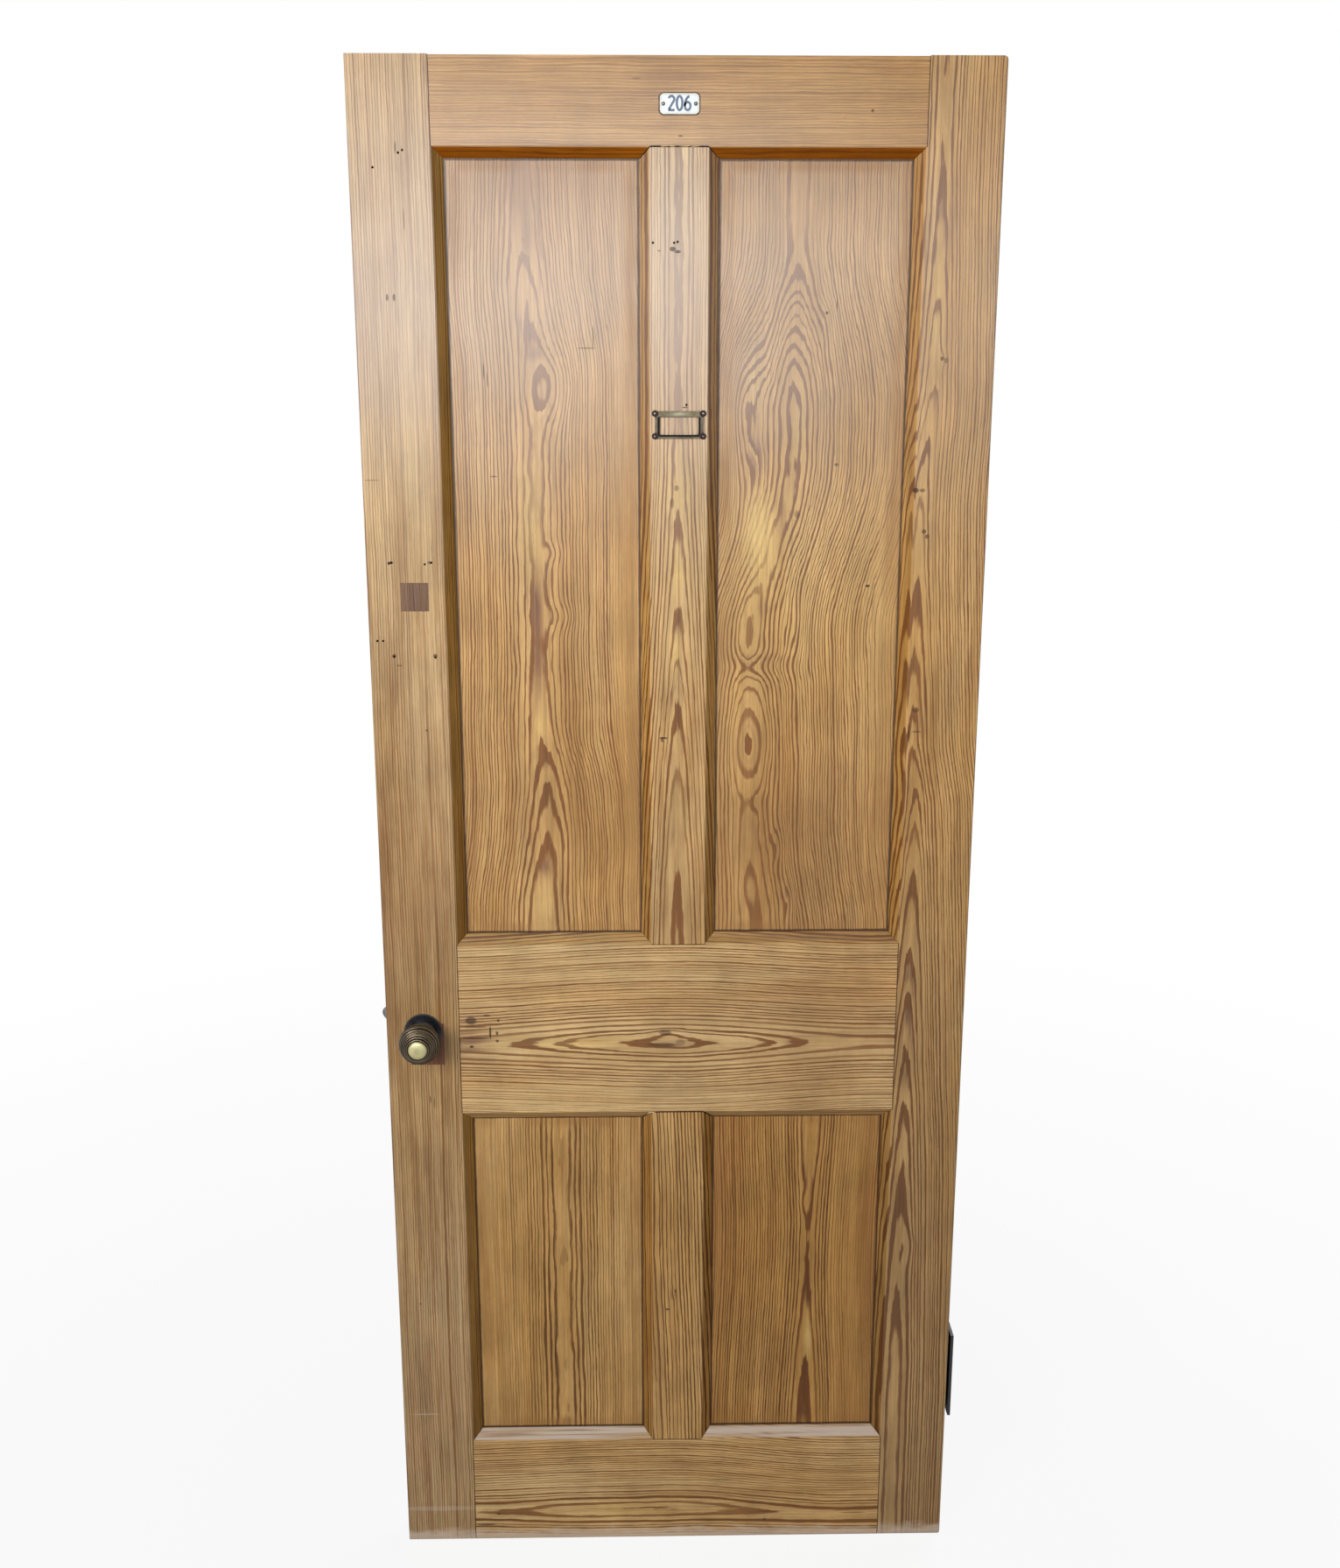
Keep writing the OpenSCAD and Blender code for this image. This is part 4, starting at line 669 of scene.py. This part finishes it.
def upper_panels():
    """Flat sawn panels: one with a kinked heart, the other with a swirl over a closed eye."""
    panel = dict(face=PANEL_FRONT, moulding=0.0, edge_gloss=1.0)
    dress_pine(
        "upper_left_panel", pith=(-0.172, 0.021), rises=((0.86, 1.3, 0.02), (1.64, 1.88, 0.008)),
        seed=23.0, opening=LEFT_OPENING + UPPER_OPENING,
        bends=((0.95, 1.06, 0.008), (1.1, 1.2, -0.007), (1.62, 1.75, -0.01)), spacing=0.0034, young=4.0,
        core=0.017, wander=0.002, ripple=0.0018, contrast=1.5, bleach=0.41, phase=0.0, early=(HONEY, GOLD),
        # The wide bell under the top rail is a painted shadow of the rail
        browns=(
            (-0.16, 1.85, 0.13, 0.05, 0.7), (-0.16, 1.09, 0.13, 0.09, 0.2),
            (-0.184, 1.842, 0.011, 0.034, 1.0), (-0.177, 1.778, 0.008, 0.03, 0.9),
            (-0.174, 1.655, 0.012, 0.01, 0.6)),
        swells=(
            (-0.146, 1.61, 0.026, 0.04, -0.01), (-0.15, 1.41, 0.012, 0.012, -0.003),
            (-0.142, 1.331, 0.02, 0.017, -0.005), (-0.12, 1.17, 0.03, 0.03, 0.003)),
        tints=(
            (-0.174, 1.29, 0.009, 0.07, 0.9), (-0.178, 1.35, 0.01, 0.03, 0.7),
            (-0.166, 1.595, 0.007, 0.03, 0.9), (-0.182, 1.682, 0.01, 0.013, 0.8),
            (-0.174, 1.648, 0.014, 0.009, 0.8), (-0.184, 1.85, 0.014, 0.022, 0.9),
            (-0.195, 1.81, 0.006, 0.03, 0.7), (-0.162, 1.79, 0.006, 0.05, 0.7),
            (-0.147, 1.5, 0.008, 0.03, 0.5), (-0.17, 1.15, 0.01, 0.012, 0.8),
            (-0.17, 1.005, 0.015, 0.014, 0.9), (-0.15, 0.95, 0.008, 0.03, 0.7),
            (-0.088, 1.3, 0.008, 0.03, 0.6)),
        pales=(
            (-0.178, 1.45, 0.012, 0.08, 0.7), (-0.165, 0.955, 0.01, 0.02, 0.6),
            (-0.172, 1.19, 0.006, 0.018, 0.6)),
        plains=((-0.06, 1.4, 0.02, 0.6, 0.9), (-0.178, 1.46, 0.014, 0.08, 0.6)),
        marks=(
            (-0.232, 1.628, 0.001, 0.01, 0.6), (-0.228, 1.618, 0.0008, 0.01, 0.6),
            (-0.223, 1.503, 0.005, 0.001, 0.6), (-0.108, 1.655, 0.012, 0.001, 0.5),
            (-0.1, 1.668, 0.0008, 0.015, 0.6)),
        **panel)
    dress_pine(
        "upper_right_panel", pith=(0.106, 0.015),
        rises=((0.88, 1.05, 0.007), (1.1, 1.5, 0.011), (1.58, 1.78, 0.03)), seed=26.0,
        opening=RIGHT_OPENING + UPPER_OPENING, bends=((1.3, 1.52, 0.05), (0.9, 1.08, -0.012)),
        spacing=0.0036, young=2.5, wander=0.0045, ripple=0.0026, contrast=1.3, bleach=0.47, stain=0.3,
        early=(HONEY, GOLD), phase=0.2,
        # The bell at z 1.85 under the top rail is a painted shadow of the rail
        browns=((0.165, 1.02, 0.14, 0.14, 0.5), (0.165, 1.85, 0.14, 0.05, 0.45)),
        swells=(
            (0.078, 1.58, 0.022, 0.11, -0.024), (0.094, 1.17, 0.03, 0.05, -0.014),
            (0.15, 1.32, 0.012, 0.03, -0.006), (0.09, 1.33, 0.016, 0.04, -0.005),
            (0.178, 1.68, 0.012, 0.03, -0.004), (0.105, 1.265, 0.05, 0.016, 0.007),
            (0.132, 1.03, 0.01, 0.022, -0.006), (0.096, 0.975, 0.012, 0.03, -0.005),
            (0.148, 0.955, 0.008, 0.024, -0.005), (0.1, 1.09, 0.014, 0.016, 0.003)),
        tints=(
            (0.094, 1.166, 0.007, 0.02, 1.0), (0.105, 1.275, 0.03, 0.008, 0.7),
            (0.112, 1.34, 0.01, 0.012, 0.7), (0.1, 1.53, 0.012, 0.03, 0.9),
            (0.115, 1.79, 0.015, 0.04, 0.6), (0.145, 0.965, 0.006, 0.02, 0.9),
            (0.1, 1.03, 0.01, 0.03, 0.7), (0.13, 1.46, 0.01, 0.03, 0.5), (0.085, 1.66, 0.01, 0.02, 0.5)),
        pales=(
            (0.165, 1.38, 0.12, 0.14, 0.4), (0.103, 1.43, 0.02, 0.05, 0.8), (0.15, 1.56, 0.008, 0.05, 0.6),
            (0.095, 1.62, 0.012, 0.03, 0.6)),
        plains=(
            (0.105, 1.43, 0.022, 0.06, 0.8), (0.26, 1.4, 0.03, 0.5, 0.5), (0.13, 1.81, 0.08, 0.04, 0.5)),
        marks=(
            (0.2385, 1.368, 0.003, 0.0018, 0.9), (0.18, 1.696, 0.002, 0.002, 0.7),
            (0.192, 1.706, 0.0008, 0.008, 0.6), (0.149, 1.457, 0.004, 0.005, 0.4),
            (0.196, 1.517, 0.003, 0.002, 0.6)),
        **panel)


def lower_panels():
    """Lower left panel with straight stripes, lower right panel with a dark peaked heart."""
    panel = dict(face=PANEL_FRONT, moulding=0.0, gloss=0.15, edge_gloss=1.0)
    dress_pine(
        "lower_left_panel", pith=(-0.154, 0.024), spacing=0.0034, wander=0.002, ripple=0.0012,
        contrast=1.0, dark=LATE_DEEP, phase=0.7, early=(HONEY, GOLD), seed=29.0,
        opening=LEFT_OPENING + LOWER_OPENING, swells=((-0.15, 0.44, 0.012, 0.016, -0.0012),),
        plains=(
            (-0.262, 0.4, 0.035, 0.6, 0.85), (-0.058, 0.4, 0.026, 0.6, 0.5), (-0.154, 0.4, 0.007, 0.6, 0.7)),
        marks=((-0.167, 0.57, 0.0008, 0.05, 0.6), (-0.168, 0.3, 0.0008, 0.06, 0.6)), **panel)
    dress_pine(
        "lower_right_panel", pith=(0.183, 0.006), rises=((0.15, 0.45, 0.01), (0.47, 0.66, -0.006)),
        seed=32.0, opening=RIGHT_OPENING + LOWER_OPENING, spacing=0.0036, young=2.0, core=0.01,
        wander=0.0018, ripple=0.0009, contrast=1.4, phase=0.2, early=(GOLD, AMBER), dark=LATE_RED,
        rust=0.5, swells=((0.178, 0.52, 0.006, 0.015, -0.003),),
        tints=(
            (0.184, 0.385, 0.006, 0.018, 1.0), (0.183, 0.21, 0.006, 0.025, 0.9),
            (0.181, 0.56, 0.005, 0.018, 0.9), (0.18, 0.63, 0.008, 0.02, 0.4)),
        pales=((0.186, 0.31, 0.006, 0.03, 0.7),), plains=((0.252, 0.4, 0.028, 0.6, 0.7),),
        browns=((0.262, 0.4, 0.02, 0.4, 0.45),), **panel)


def timber():
    """Every board of the door, with the figure that its own log gives it."""
    stiles()
    rails()
    muntins()
    upper_panels()
    lower_panels()
    dress("tenon_wedges", pine(
        "wedge_pine", level=True, pith=(1.0, 0.3), spacing=0.003, early=(GOLD, AMBER), moulding=0.0,
        seed=35.0))
    square_early = (srgb(130, 96, 70), srgb(112, 80, 56))
    knob_early = (srgb(134, 80, 54), srgb(114, 66, 44))
    patches = (("square_patch", square_early), ("knob_patch", knob_early))
    for number, (node_name, red_early) in enumerate(patches):
        dress(node_name, pine(
            node_name + "_wood", pith=(0.0, 0.2), spacing=0.0022, early=red_early,
            dark=srgb(78, 46, 32), contrast=1.0, moulding=0.0, bleach=0.1, rust=0.0, seed=38.0 + number))


def metal(name, tone, shade, rough, metallic=1.0, seed=0.0):
    """Old metal whose tone drifts between two colours, with painted shade in its crevices."""
    finish = Finish(name)
    place = finish.object_place
    drift = finish.step(finish.noise(place, 60.0, seed, 4.0), 0.35, 0.65)
    colour = finish.mix(drift, tone, shade)
    # Painted shade where the occlusion is low
    crevice = finish.step(finish.occlusion(0.006), 0.7, 0.25)
    colour = finish.mix(finish.times(crevice, 0.7), colour, srgb(18, 14, 12))
    pits = finish.noise(place, 700.0, seed + 2.0, 3.0)
    finish.set(Base_Color=colour, Metallic=metallic)
    finish.set(Roughness=finish.step(pits, 0.2, 0.8, rough - 0.08, rough + 0.12))
    finish.bump(pits, 0.0002, 0.35)
    return finish.material


def knob_brass():
    """Dark patina with fine turned rings whose ridges are paler, partly rubbed and partly a painted
    highlight, rubbed bright on the nose, by the distance to the axis.
    """
    finish = Finish("knob_brass")
    place = finish.object_place
    spread = finish.vector("SUBTRACT", place, (KNOB_X, 0.0, KNOB_Z)).outputs[0]
    x, y, z = finish.split(spread)
    ring = finish.vector("LENGTH", finish.join(x, 0.0, z)).outputs["Value"]
    reach = finish.step(finish.math("ABSOLUTE", y), *NOSE_REACHES)
    nose = finish.times(finish.step(ring, *NOSE_RADII), reach)
    rubbed = finish.step(finish.noise(place, 90.0, 3.0, 3.0), 0.3, 0.7)
    turned = finish.math("SINE", finish.times(ring, 2.0 * np.pi / RING_PITCH))
    ringed = finish.step(ring, *RINGED_RADII)
    crest_wear_and_highlight = finish.times(finish.step(turned, 0.0, 0.9), ringed)
    patina = finish.mix(rubbed, srgb(40, 34, 29), srgb(64, 55, 47))
    # Ring ridges paler: rubbed wear, and a painted highlight of the rings
    patina = finish.mix(finish.times(crest_wear_and_highlight, 0.5), patina, srgb(140, 126, 100))
    bright = finish.mix(rubbed, srgb(190, 182, 130), srgb(170, 164, 130))
    bright = finish.mix(finish.step(ring, *NOSE_MIDDLE_RADII, 0.0, 0.5), bright, srgb(150, 144, 96))
    colour = finish.mix(nose, patina, bright)
    # Painted shade where the occlusion is low
    crevice = finish.step(finish.occlusion(0.004), 0.8, 0.35)
    colour = finish.mix(finish.times(crevice, 0.7), colour, srgb(24, 18, 14))
    pits = finish.noise(place, 600.0, 4.0, 3.0)
    finish.set(Base_Color=colour, Metallic=1.0)
    matt = finish.step(nose, 0.0, 1.0, 0.0, 0.22)
    finish.set(Roughness=finish.plus(finish.step(pits, 0.2, 0.8, 0.2, 0.34), matt))
    groove = finish.times(turned, finish.math("SUBTRACT", 1.0, nose), ringed)
    finish.bump(finish.plus(finish.times(pits, 0.15), finish.times(groove, 0.5)), 0.0004, 0.6)
    return finish.material


def enamel():
    """Glossy white enamel, cool in the middle and yellowed towards the plate's rim."""
    finish = Finish("plate_enamel")
    place = finish.object_place
    x, _, z = finish.split(place)
    clouds = finish.step(finish.noise(place, 60.0, 1.0, 3.0), 0.3, 0.75)
    colour = finish.mix(finish.times(clouds, 0.6), srgb(236, 241, 246), srgb(222, 224, 220))
    beyond = finish.rounded(x, z, PLATE_MIDDLE, PLATE_HALF, PLATE_CORNER)
    colour = finish.mix(finish.step(beyond, *YELLOWED_RIM, 0.0, 0.55), colour, srgb(196, 182, 142))
    finish.set(Base_Color=colour, Coat_Weight=0.6, Coat_Roughness=0.06)
    finish.set(Roughness=finish.step(clouds, 0.0, 1.0, 0.14, 0.24))
    finish.bump(clouds, 0.0001, 0.2)
    return finish.material


def card_brass():
    """Dull brass of the card frame with painted light: a paler top bar as a reflection, a glint on it, and
    shade in the slot round its window; dark on its ears.
    """
    finish = Finish("card_brass")
    place = finish.object_place
    x, _, z = finish.split(place)
    drift = finish.step(finish.noise(place, 120.0, 5.0, 4.0), 0.35, 0.65)
    colour = finish.mix(drift, srgb(100, 89, 74), srgb(74, 65, 56))
    # Painted reflection: the top bar is paler
    top_bar = finish.step(z, *TOP_BAR_HEIGHTS)
    colour = finish.mix(top_bar, colour, finish.mix(drift, srgb(104, 95, 74), srgb(84, 76, 60)))
    # Painted glint: a bright spot on the top bar
    painted_glint = finish.spot(place, GLINT_MIDDLE, GLINT_REACH)
    colour = finish.mix(finish.times(painted_glint, 0.5), colour, srgb(176, 170, 148))
    # Painted shade of the card slot under the lips round the window, with dirt, below the top bar
    beyond = finish.rounded(x, z, WINDOW_MIDDLE, WINDOW_HALF, 0.001)
    slot_shade_and_grime = finish.times(finish.step(beyond, *WINDOW_SHADE_AND_GRIME), finish.math("SUBTRACT", 1.0, top_bar))
    colour = finish.mix(slot_shade_and_grime, colour, srgb(8, 6, 5))
    for side in (-1.0, 1.0):
        for level in (-1.0, 1.0):
            ear = (CARD_MIDDLE[0] + side * EAR_REACH[0], FRONT, CARD_MIDDLE[1] + level * EAR_REACH[1])
            dark = finish.step(finish.spot(place, ear, EAR_SPOT_REACH), 0.28, 0.45)
            colour = finish.mix(dark, colour, srgb(44, 32, 31))
    pits = finish.noise(place, 700.0, 8.0, 3.0)
    finish.set(Base_Color=colour, Metallic=0.8)
    finish.set(Roughness=finish.step(pits, 0.2, 0.8, 0.46, 0.62))
    finish.bump(pits, 0.0001, 0.3)
    return finish.material


def arc(middle, radii, start, end):
    """Points of an elliptic arc between two angles in degrees."""
    angles = np.radians(np.linspace(start, end, 41))
    return np.stack((middle[0] + radii[0] * np.cos(angles), middle[1] + radii[1] * np.sin(angles)), 1)


def digit_strokes():
    """Stroke lines of the digits 2, 0 and 6, in mm round each digit's middle."""
    wide = 3.2
    high = 7.5
    bowl = 4.3
    hook = arc((0.0, high - wide), (wide, wide), 165.0, -38.0)
    slope = np.linspace(hook[-1], (-wide, -high + 0.4), 12)[1:]
    two = [np.concatenate((hook, slope)), np.linspace((-wide - 0.6, -high), (wide + 0.4, -high), 9)]
    nought = [arc((0.0, 0.0), (wide, high), 0.0, 360.0)]
    stem = arc((0.9 * wide, bowl - high), (1.9 * wide, 2.0 * high - bowl), 180.0, 98.0)
    six = [arc((0.0, bowl - high), (wide, bowl), 0.0, 360.0), stem]
    return two, nought, six


def ribbon(line, width):
    """Flat band whose points are a line's points moved across the line by up to half a width, as a grid."""
    along = np.gradient(line, axis=0)
    along /= np.linalg.norm(along, axis=1)[:, None]
    across = np.stack((-along[:, 1], along[:, 0]), 1)
    shares = np.linspace(-0.5, 0.5, 4)
    return line[:, None, :] + width * shares[None, :, None] * across[:, None, :]


def grid_faces(rows, columns, first, around=False):
    """Quads of a grid of points that starts at a first index, joined up sideways if it goes around."""
    column = np.arange(columns if around else columns - 1)[None, :]
    beside = (column + 1) % columns
    low = first + columns * np.arange(rows - 1)[:, None]
    high = low + columns
    quads = np.stack((low + column, high + column, high + beside, low + beside), 2)
    return quads.reshape(-1, 4).tolist()


def joined(grids, around=False):
    """Points and quads of several grids of points as one mesh."""
    points = []
    faces = []
    for grid in grids:
        rows, columns = grid.shape[:2]
        faces += grid_faces(rows, columns, len(points), around)
        points += grid.reshape(-1, 3).tolist()
    return points, faces


def new_piece(name, points, faces, material, slot):
    """Mesh piece that rides on the door."""
    mesh = bpy.data.meshes.new(name)
    mesh.from_pydata(points, [], faces)
    mesh.polygons.foreach_set("use_smooth", [True] * len(faces))
    mesh.materials.append(material)
    piece = bpy.data.objects.new(name, mesh)
    bpy.context.scene.collection.objects.link(piece)
    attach(piece, "door")
    return piece


def digit_paint():
    """Blue-grey paint, worn thin in places."""
    finish = Finish("digit_paint")
    worn = finish.step(finish.noise(finish.object_place, 420.0, 6.0, 3.0), 0.45, 0.75)
    finish.set(Base_Color=finish.mix(finish.times(worn, 0.3), srgb(46, 66, 96), srgb(128, 142, 164)))
    finish.set(Roughness=finish.step(worn, 0.0, 1.0, 0.22, 0.36))
    return finish.material


def plate_digits():
    """Painted digits of the number plate, as ribbons along their strokes a hair above the enamel."""
    stroke = 2.7
    pitch = 9.3
    lift = 0.00008
    above_middle = 0.0006
    middle_z = PLATE_MIDDLE[1] + above_middle
    bands = []
    for place, strokes in zip((-pitch, 0.0, pitch), digit_strokes()):
        for line in strokes:
            across, up = np.moveaxis(0.001 * ribbon(line, stroke), 2, 0)
            x = PLATE_MIDDLE[0] + 0.001 * place + across
            bands.append(np.stack((x, np.full_like(x, PLATE_FRONT - lift), middle_z + up), 2))
    new_piece("plate_digits", *joined(bands), digit_paint(), "white_enamel")


def splinter(foot, tip, width, bow):
    """Grid of a thin sliver: a flat oval along a bowed line, full at its foot and thin at its tip."""
    steps = np.linspace(0.0, 1.0, 14)
    angles = np.radians(np.arange(0.0, 360.0, 45.0))
    foot = np.array(foot)
    axis = np.array(tip) - foot
    side = np.cross(axis / np.linalg.norm(axis), (0.0, 1.0, 0.0))
    size = 0.5 * width * (steps + 0.02) ** 0.3 * (1.02 - steps) ** 0.7
    middle = foot + steps[:, None] * axis
    middle[:, 1] -= bow * np.sin(np.pi * steps)
    ring = np.cos(angles)[:, None] * side + 0.5 * np.sin(angles)[:, None] * np.array((0.0, 1.0, 0.0))
    return middle[:, None, :] + size[:, None, None] * ring[None, :, :]


def splinters():
    """Torn slivers of wood at the heads of both muntins."""
    sunk = FRONT + 0.0002
    slivers = (
        ((-0.0365, sunk, 0.6632), (-0.0270, sunk, 0.6642), 0.0024, 0.0004),
        ((-0.0385, sunk, 0.6608), (-0.0315, sunk, 0.6640), 0.0014, 0.0003),
        ((-0.0190, sunk, 1.8818), (-0.0085, sunk, 1.8822), 0.0018, 0.0004),
        ((-0.0090, sunk, 1.8822), (-0.0010, sunk, 1.8816), 0.0022, 0.0005),
        ((0.0155, sunk, 1.8820), (0.0010, sunk, 1.8818), 0.0016, 0.0003),
        ((0.0165, sunk, 1.8816), (0.0275, sunk, 1.8822), 0.0018, 0.0004))
    points, faces = joined([splinter(*sliver) for sliver in slivers], around=True)
    wood = pine(
        "splinter_pine", level=True, pith=(1.0, 0.1), spacing=0.0012, contrast=0.5, moulding=0.0,
        early=(PALE_WEAR_AND_SHEEN, PALE_HONEY), bleach=0.0, foot=1.0, rust=0.0, seed=44.0)
    new_piece("splinters", points, faces, wood, "stile_wood")


def latch_coil(steel):
    """Round wire along a helix about the bolt's guide, at one fixed length, though the real spring shortens
    against its post as the knob turns.

    Each ring of points goes round the wire at one turn of the helix, and turns step evenly along the span.
    """
    turns = 4
    steps = np.linspace(0.0, turns, 24 * turns + 1)[:, None]
    around = np.radians(np.arange(0.0, 360.0, 36.0))[None, :]
    start, end = SPRING_SPAN
    radius = SPRING_RADIUS + 0.5 * SPRING_WIRE * np.cos(around)
    x = start + (end - start) / turns * steps + 0.5 * SPRING_WIRE * np.sin(around)
    y = radius * np.cos(2.0 * np.pi * steps)
    z = SPRING_Z + radius * np.sin(2.0 * np.pi * steps)
    rows, columns = x.shape
    points, faces = joined([np.stack((x, y, z), 2)], around=True)
    faces.append(tuple(range(columns)))
    faces.append(tuple(range(rows * columns - 1, (rows - 1) * columns - 1, -1)))
    piece = new_piece("latch_coil", points, faces, steel, "lock_steel")
    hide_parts("latch_spring")
    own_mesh(piece)


def hardware():
    """Every metal piece of the door."""
    dress("number_plate", enamel())
    steel = metal("dull_steel", srgb(134, 134, 134), srgb(104, 100, 96), 0.42, seed=3.0)
    iron = metal("black_iron", srgb(16, 15, 16), srgb(24, 22, 22), 0.55, metallic=0.0, seed=7.0)
    rose_iron = metal("rose_iron", srgb(20, 20, 24), srgb(30, 30, 36), 0.3, metallic=0.0, seed=9.0)
    pin_brass = metal("pin_brass", srgb(150, 140, 126), srgb(112, 100, 88), 0.36, seed=5.0)
    knob = knob_brass()
    steel_nodes = (
        "number_plate_screws", "spindle", "knob_grub_screws", "latch_case", "latch_forend",
        "forend_screws", "latch_bolt", "latch_follower", "latch_spring")
    iron_nodes = ["rose_screws"]
    for hinge in ("lower_hinge", "upper_hinge"):
        for part in ("door_leaf", "frame_leaf", "pin", "screws"):
            iron_nodes.append(hinge + "_" + part)
    for node_name in steel_nodes:
        dress(node_name, steel)
    for node_name in iron_nodes:
        dress(node_name, iron)
    for node_name in ("front_rose", "back_rose"):
        dress(node_name, rose_iron)
    dress("card_frame", card_brass())
    dress("card_frame_pins", pin_brass)
    for node_name in ("front_knob", "back_knob"):
        dress(node_name, knob)
    latch_coil(steel)


def floor():
    """Plain pale floor under the door, white to the camera but for the door's shadow."""
    half = 8.0
    mesh = bpy.data.meshes.new("floor")
    corners = [(-half, -half, 0.0), (half, -half, 0.0), (half, half, 0.0), (-half, half, 0.0)]
    mesh.from_pydata(corners, [], [(0, 1, 2, 3)])
    plane = bpy.data.objects.new("floor", mesh)
    bpy.context.scene.collection.objects.link(plane)
    material = bpy.data.materials.new("pale_floor")
    material.use_nodes = True
    tree = material.node_tree
    tree.nodes.clear()
    output = tree.nodes.new("ShaderNodeOutputMaterial")
    diffuse = tree.nodes.new("ShaderNodeBsdfDiffuse")
    diffuse.inputs["Color"].default_value = srgb(200, 200, 200)
    glow = tree.nodes.new("ShaderNodeEmission")
    mixed = tree.nodes.new("ShaderNodeMixShader")
    place = tree.nodes.new("ShaderNodeTexCoord")
    reach = tree.nodes.new("ShaderNodeVectorMath")
    reach.operation = "LENGTH"
    tree.links.new(place.outputs["Object"], reach.inputs[0])
    whiteness = tree.nodes.new("ShaderNodeMapRange")
    for name, value in (("From Min", 0.6), ("From Max", 2.6), ("To Min", 0.90), ("To Max", 1.0)):
        whiteness.inputs[name].default_value = value
    tree.links.new(reach.outputs["Value"], whiteness.inputs["Value"])
    share = combine(tree, "MULTIPLY", seen_directly(tree), whiteness.outputs[0])
    tree.links.new(share, mixed.inputs[0])
    tree.links.new(diffuse.outputs[0], mixed.inputs[1])
    tree.links.new(glow.outputs[0], mixed.inputs[2])
    tree.links.new(mixed.outputs[0], output.inputs["Surface"])
    mesh.materials.append(material)


def combine(tree, operation, first, second):
    """Result of one operation on two sockets of a node tree."""
    node = tree.nodes.new("ShaderNodeMath")
    node.operation = operation
    tree.links.new(first, node.inputs[0])
    tree.links.new(second, node.inputs[1])
    return node.outputs[0]


def seen_directly(tree):
    """Socket that is 1 for rays from the camera and for those that a gloss or glass turns."""
    path = tree.nodes.new("ShaderNodeLightPath")
    total = path.outputs["Is Camera Ray"]
    for name in ("Is Glossy Ray", "Is Transmission Ray"):
        total = combine(tree, "MAXIMUM", total, path.outputs[name])
    return total


def surroundings(fill):
    """White background, with a dimmer soft fill for the light that it throws on the door."""
    world = bpy.data.worlds.new("studio")
    bpy.context.scene.world = world
    world.use_nodes = True
    tree = world.node_tree
    tree.nodes.clear()
    output = tree.nodes.new("ShaderNodeOutputWorld")
    background = tree.nodes.new("ShaderNodeBackground")
    strength = tree.nodes.new("ShaderNodeMapRange")
    strength.inputs["To Min"].default_value = fill
    strength.inputs["To Max"].default_value = 1.0
    tree.links.new(seen_directly(tree), strength.inputs["Value"])
    tree.links.new(strength.outputs[0], background.inputs["Strength"])
    background.inputs["Color"].default_value = (1.0, 1.0, 1.0, 1.0)
    tree.links.new(background.outputs[0], output.inputs["Surface"])


def softbox(name, place, target, width, height, power, colour):
    """Rectangular soft light at a place, turned to a target."""
    light = bpy.data.lights.new(name, "AREA")
    light.shape = "RECTANGLE"
    light.size = width
    light.size_y = height
    light.energy = power
    light.spread = math.radians(SOFTBOX_SPREAD)
    light.color = colour
    lamp = bpy.data.objects.new(name, light)
    lamp.location = place
    aim = Vector(target) - Vector(place)
    lamp.rotation_euler = aim.to_track_quat("-Z", "Y").to_euler()
    lamp.visible_camera = False
    bpy.context.scene.collection.objects.link(lamp)


def studio():
    """Soft light from the upper left, a broad panel for the wax's sheen, and a soft light for the back."""
    surroundings(fill=0.13)
    white = (1.0, 1.0, 1.0)
    cool = (0.90, 0.97, 1.0)
    front_target = (0.0, 0.0, 1.5)
    back_target = (0.0, 0.0, 1.2)
    softbox("upper_left_softbox", (-1.5, -2.4, 2.0), front_target, 1.4, 1.2, power=25.5, colour=white)
    softbox("sheen_panel", (-0.5, -4.2, 2.0), front_target, 1.8, 0.7, power=25.5, colour=cool)
    softbox("back_softbox", (2.0, 2.6, 2.1), back_target, 2.0, 1.8, power=46.0, colour=white)


def camera():
    """Camera of the photograph: its place, its turn as an axis times an angle, and its focal length.

    The turn takes the door's axes, with Y forward and Z up, to the picture's, with Y down and Z forward.
    """
    place = (-0.04796, -2.12402, 1.66968)
    turn = np.array((0.256615, -0.0189021, -0.00196895))
    picture_height = 1791.0
    focal_pixels = 1952.16
    angle = np.linalg.norm(turn)
    a, b, c = turn / angle
    cross = np.array(((0.0, -c, b), (c, 0.0, -a), (-b, a, 0.0)))
    rotation = np.eye(3) + math.sin(angle) * cross + (1.0 - math.cos(angle)) * (cross @ cross)
    to_picture = np.array(((1.0, 0.0, 0.0), (0.0, 0.0, -1.0), (0.0, 1.0, 0.0)))
    flip = np.diag((1.0, -1.0, -1.0))
    world_from_camera = (flip @ rotation @ to_picture).T
    lens = bpy.data.cameras.new("photo_camera")
    lens.sensor_fit = "VERTICAL"
    lens.sensor_height = 36.0
    lens.lens = focal_pixels / picture_height * lens.sensor_height
    lens.clip_end = 60.0
    eye = bpy.data.objects.new("photo_camera", lens)
    eye.matrix_world = Matrix.Translation(place) @ Matrix(world_from_camera.tolist()).to_4x4()
    bpy.context.scene.collection.objects.link(eye)
    bpy.context.scene.camera = eye


camera()
studio()
floor()
timber()
hardware()
plate_digits()
splinters()
bpy.context.scene.view_settings.view_transform = "Standard"
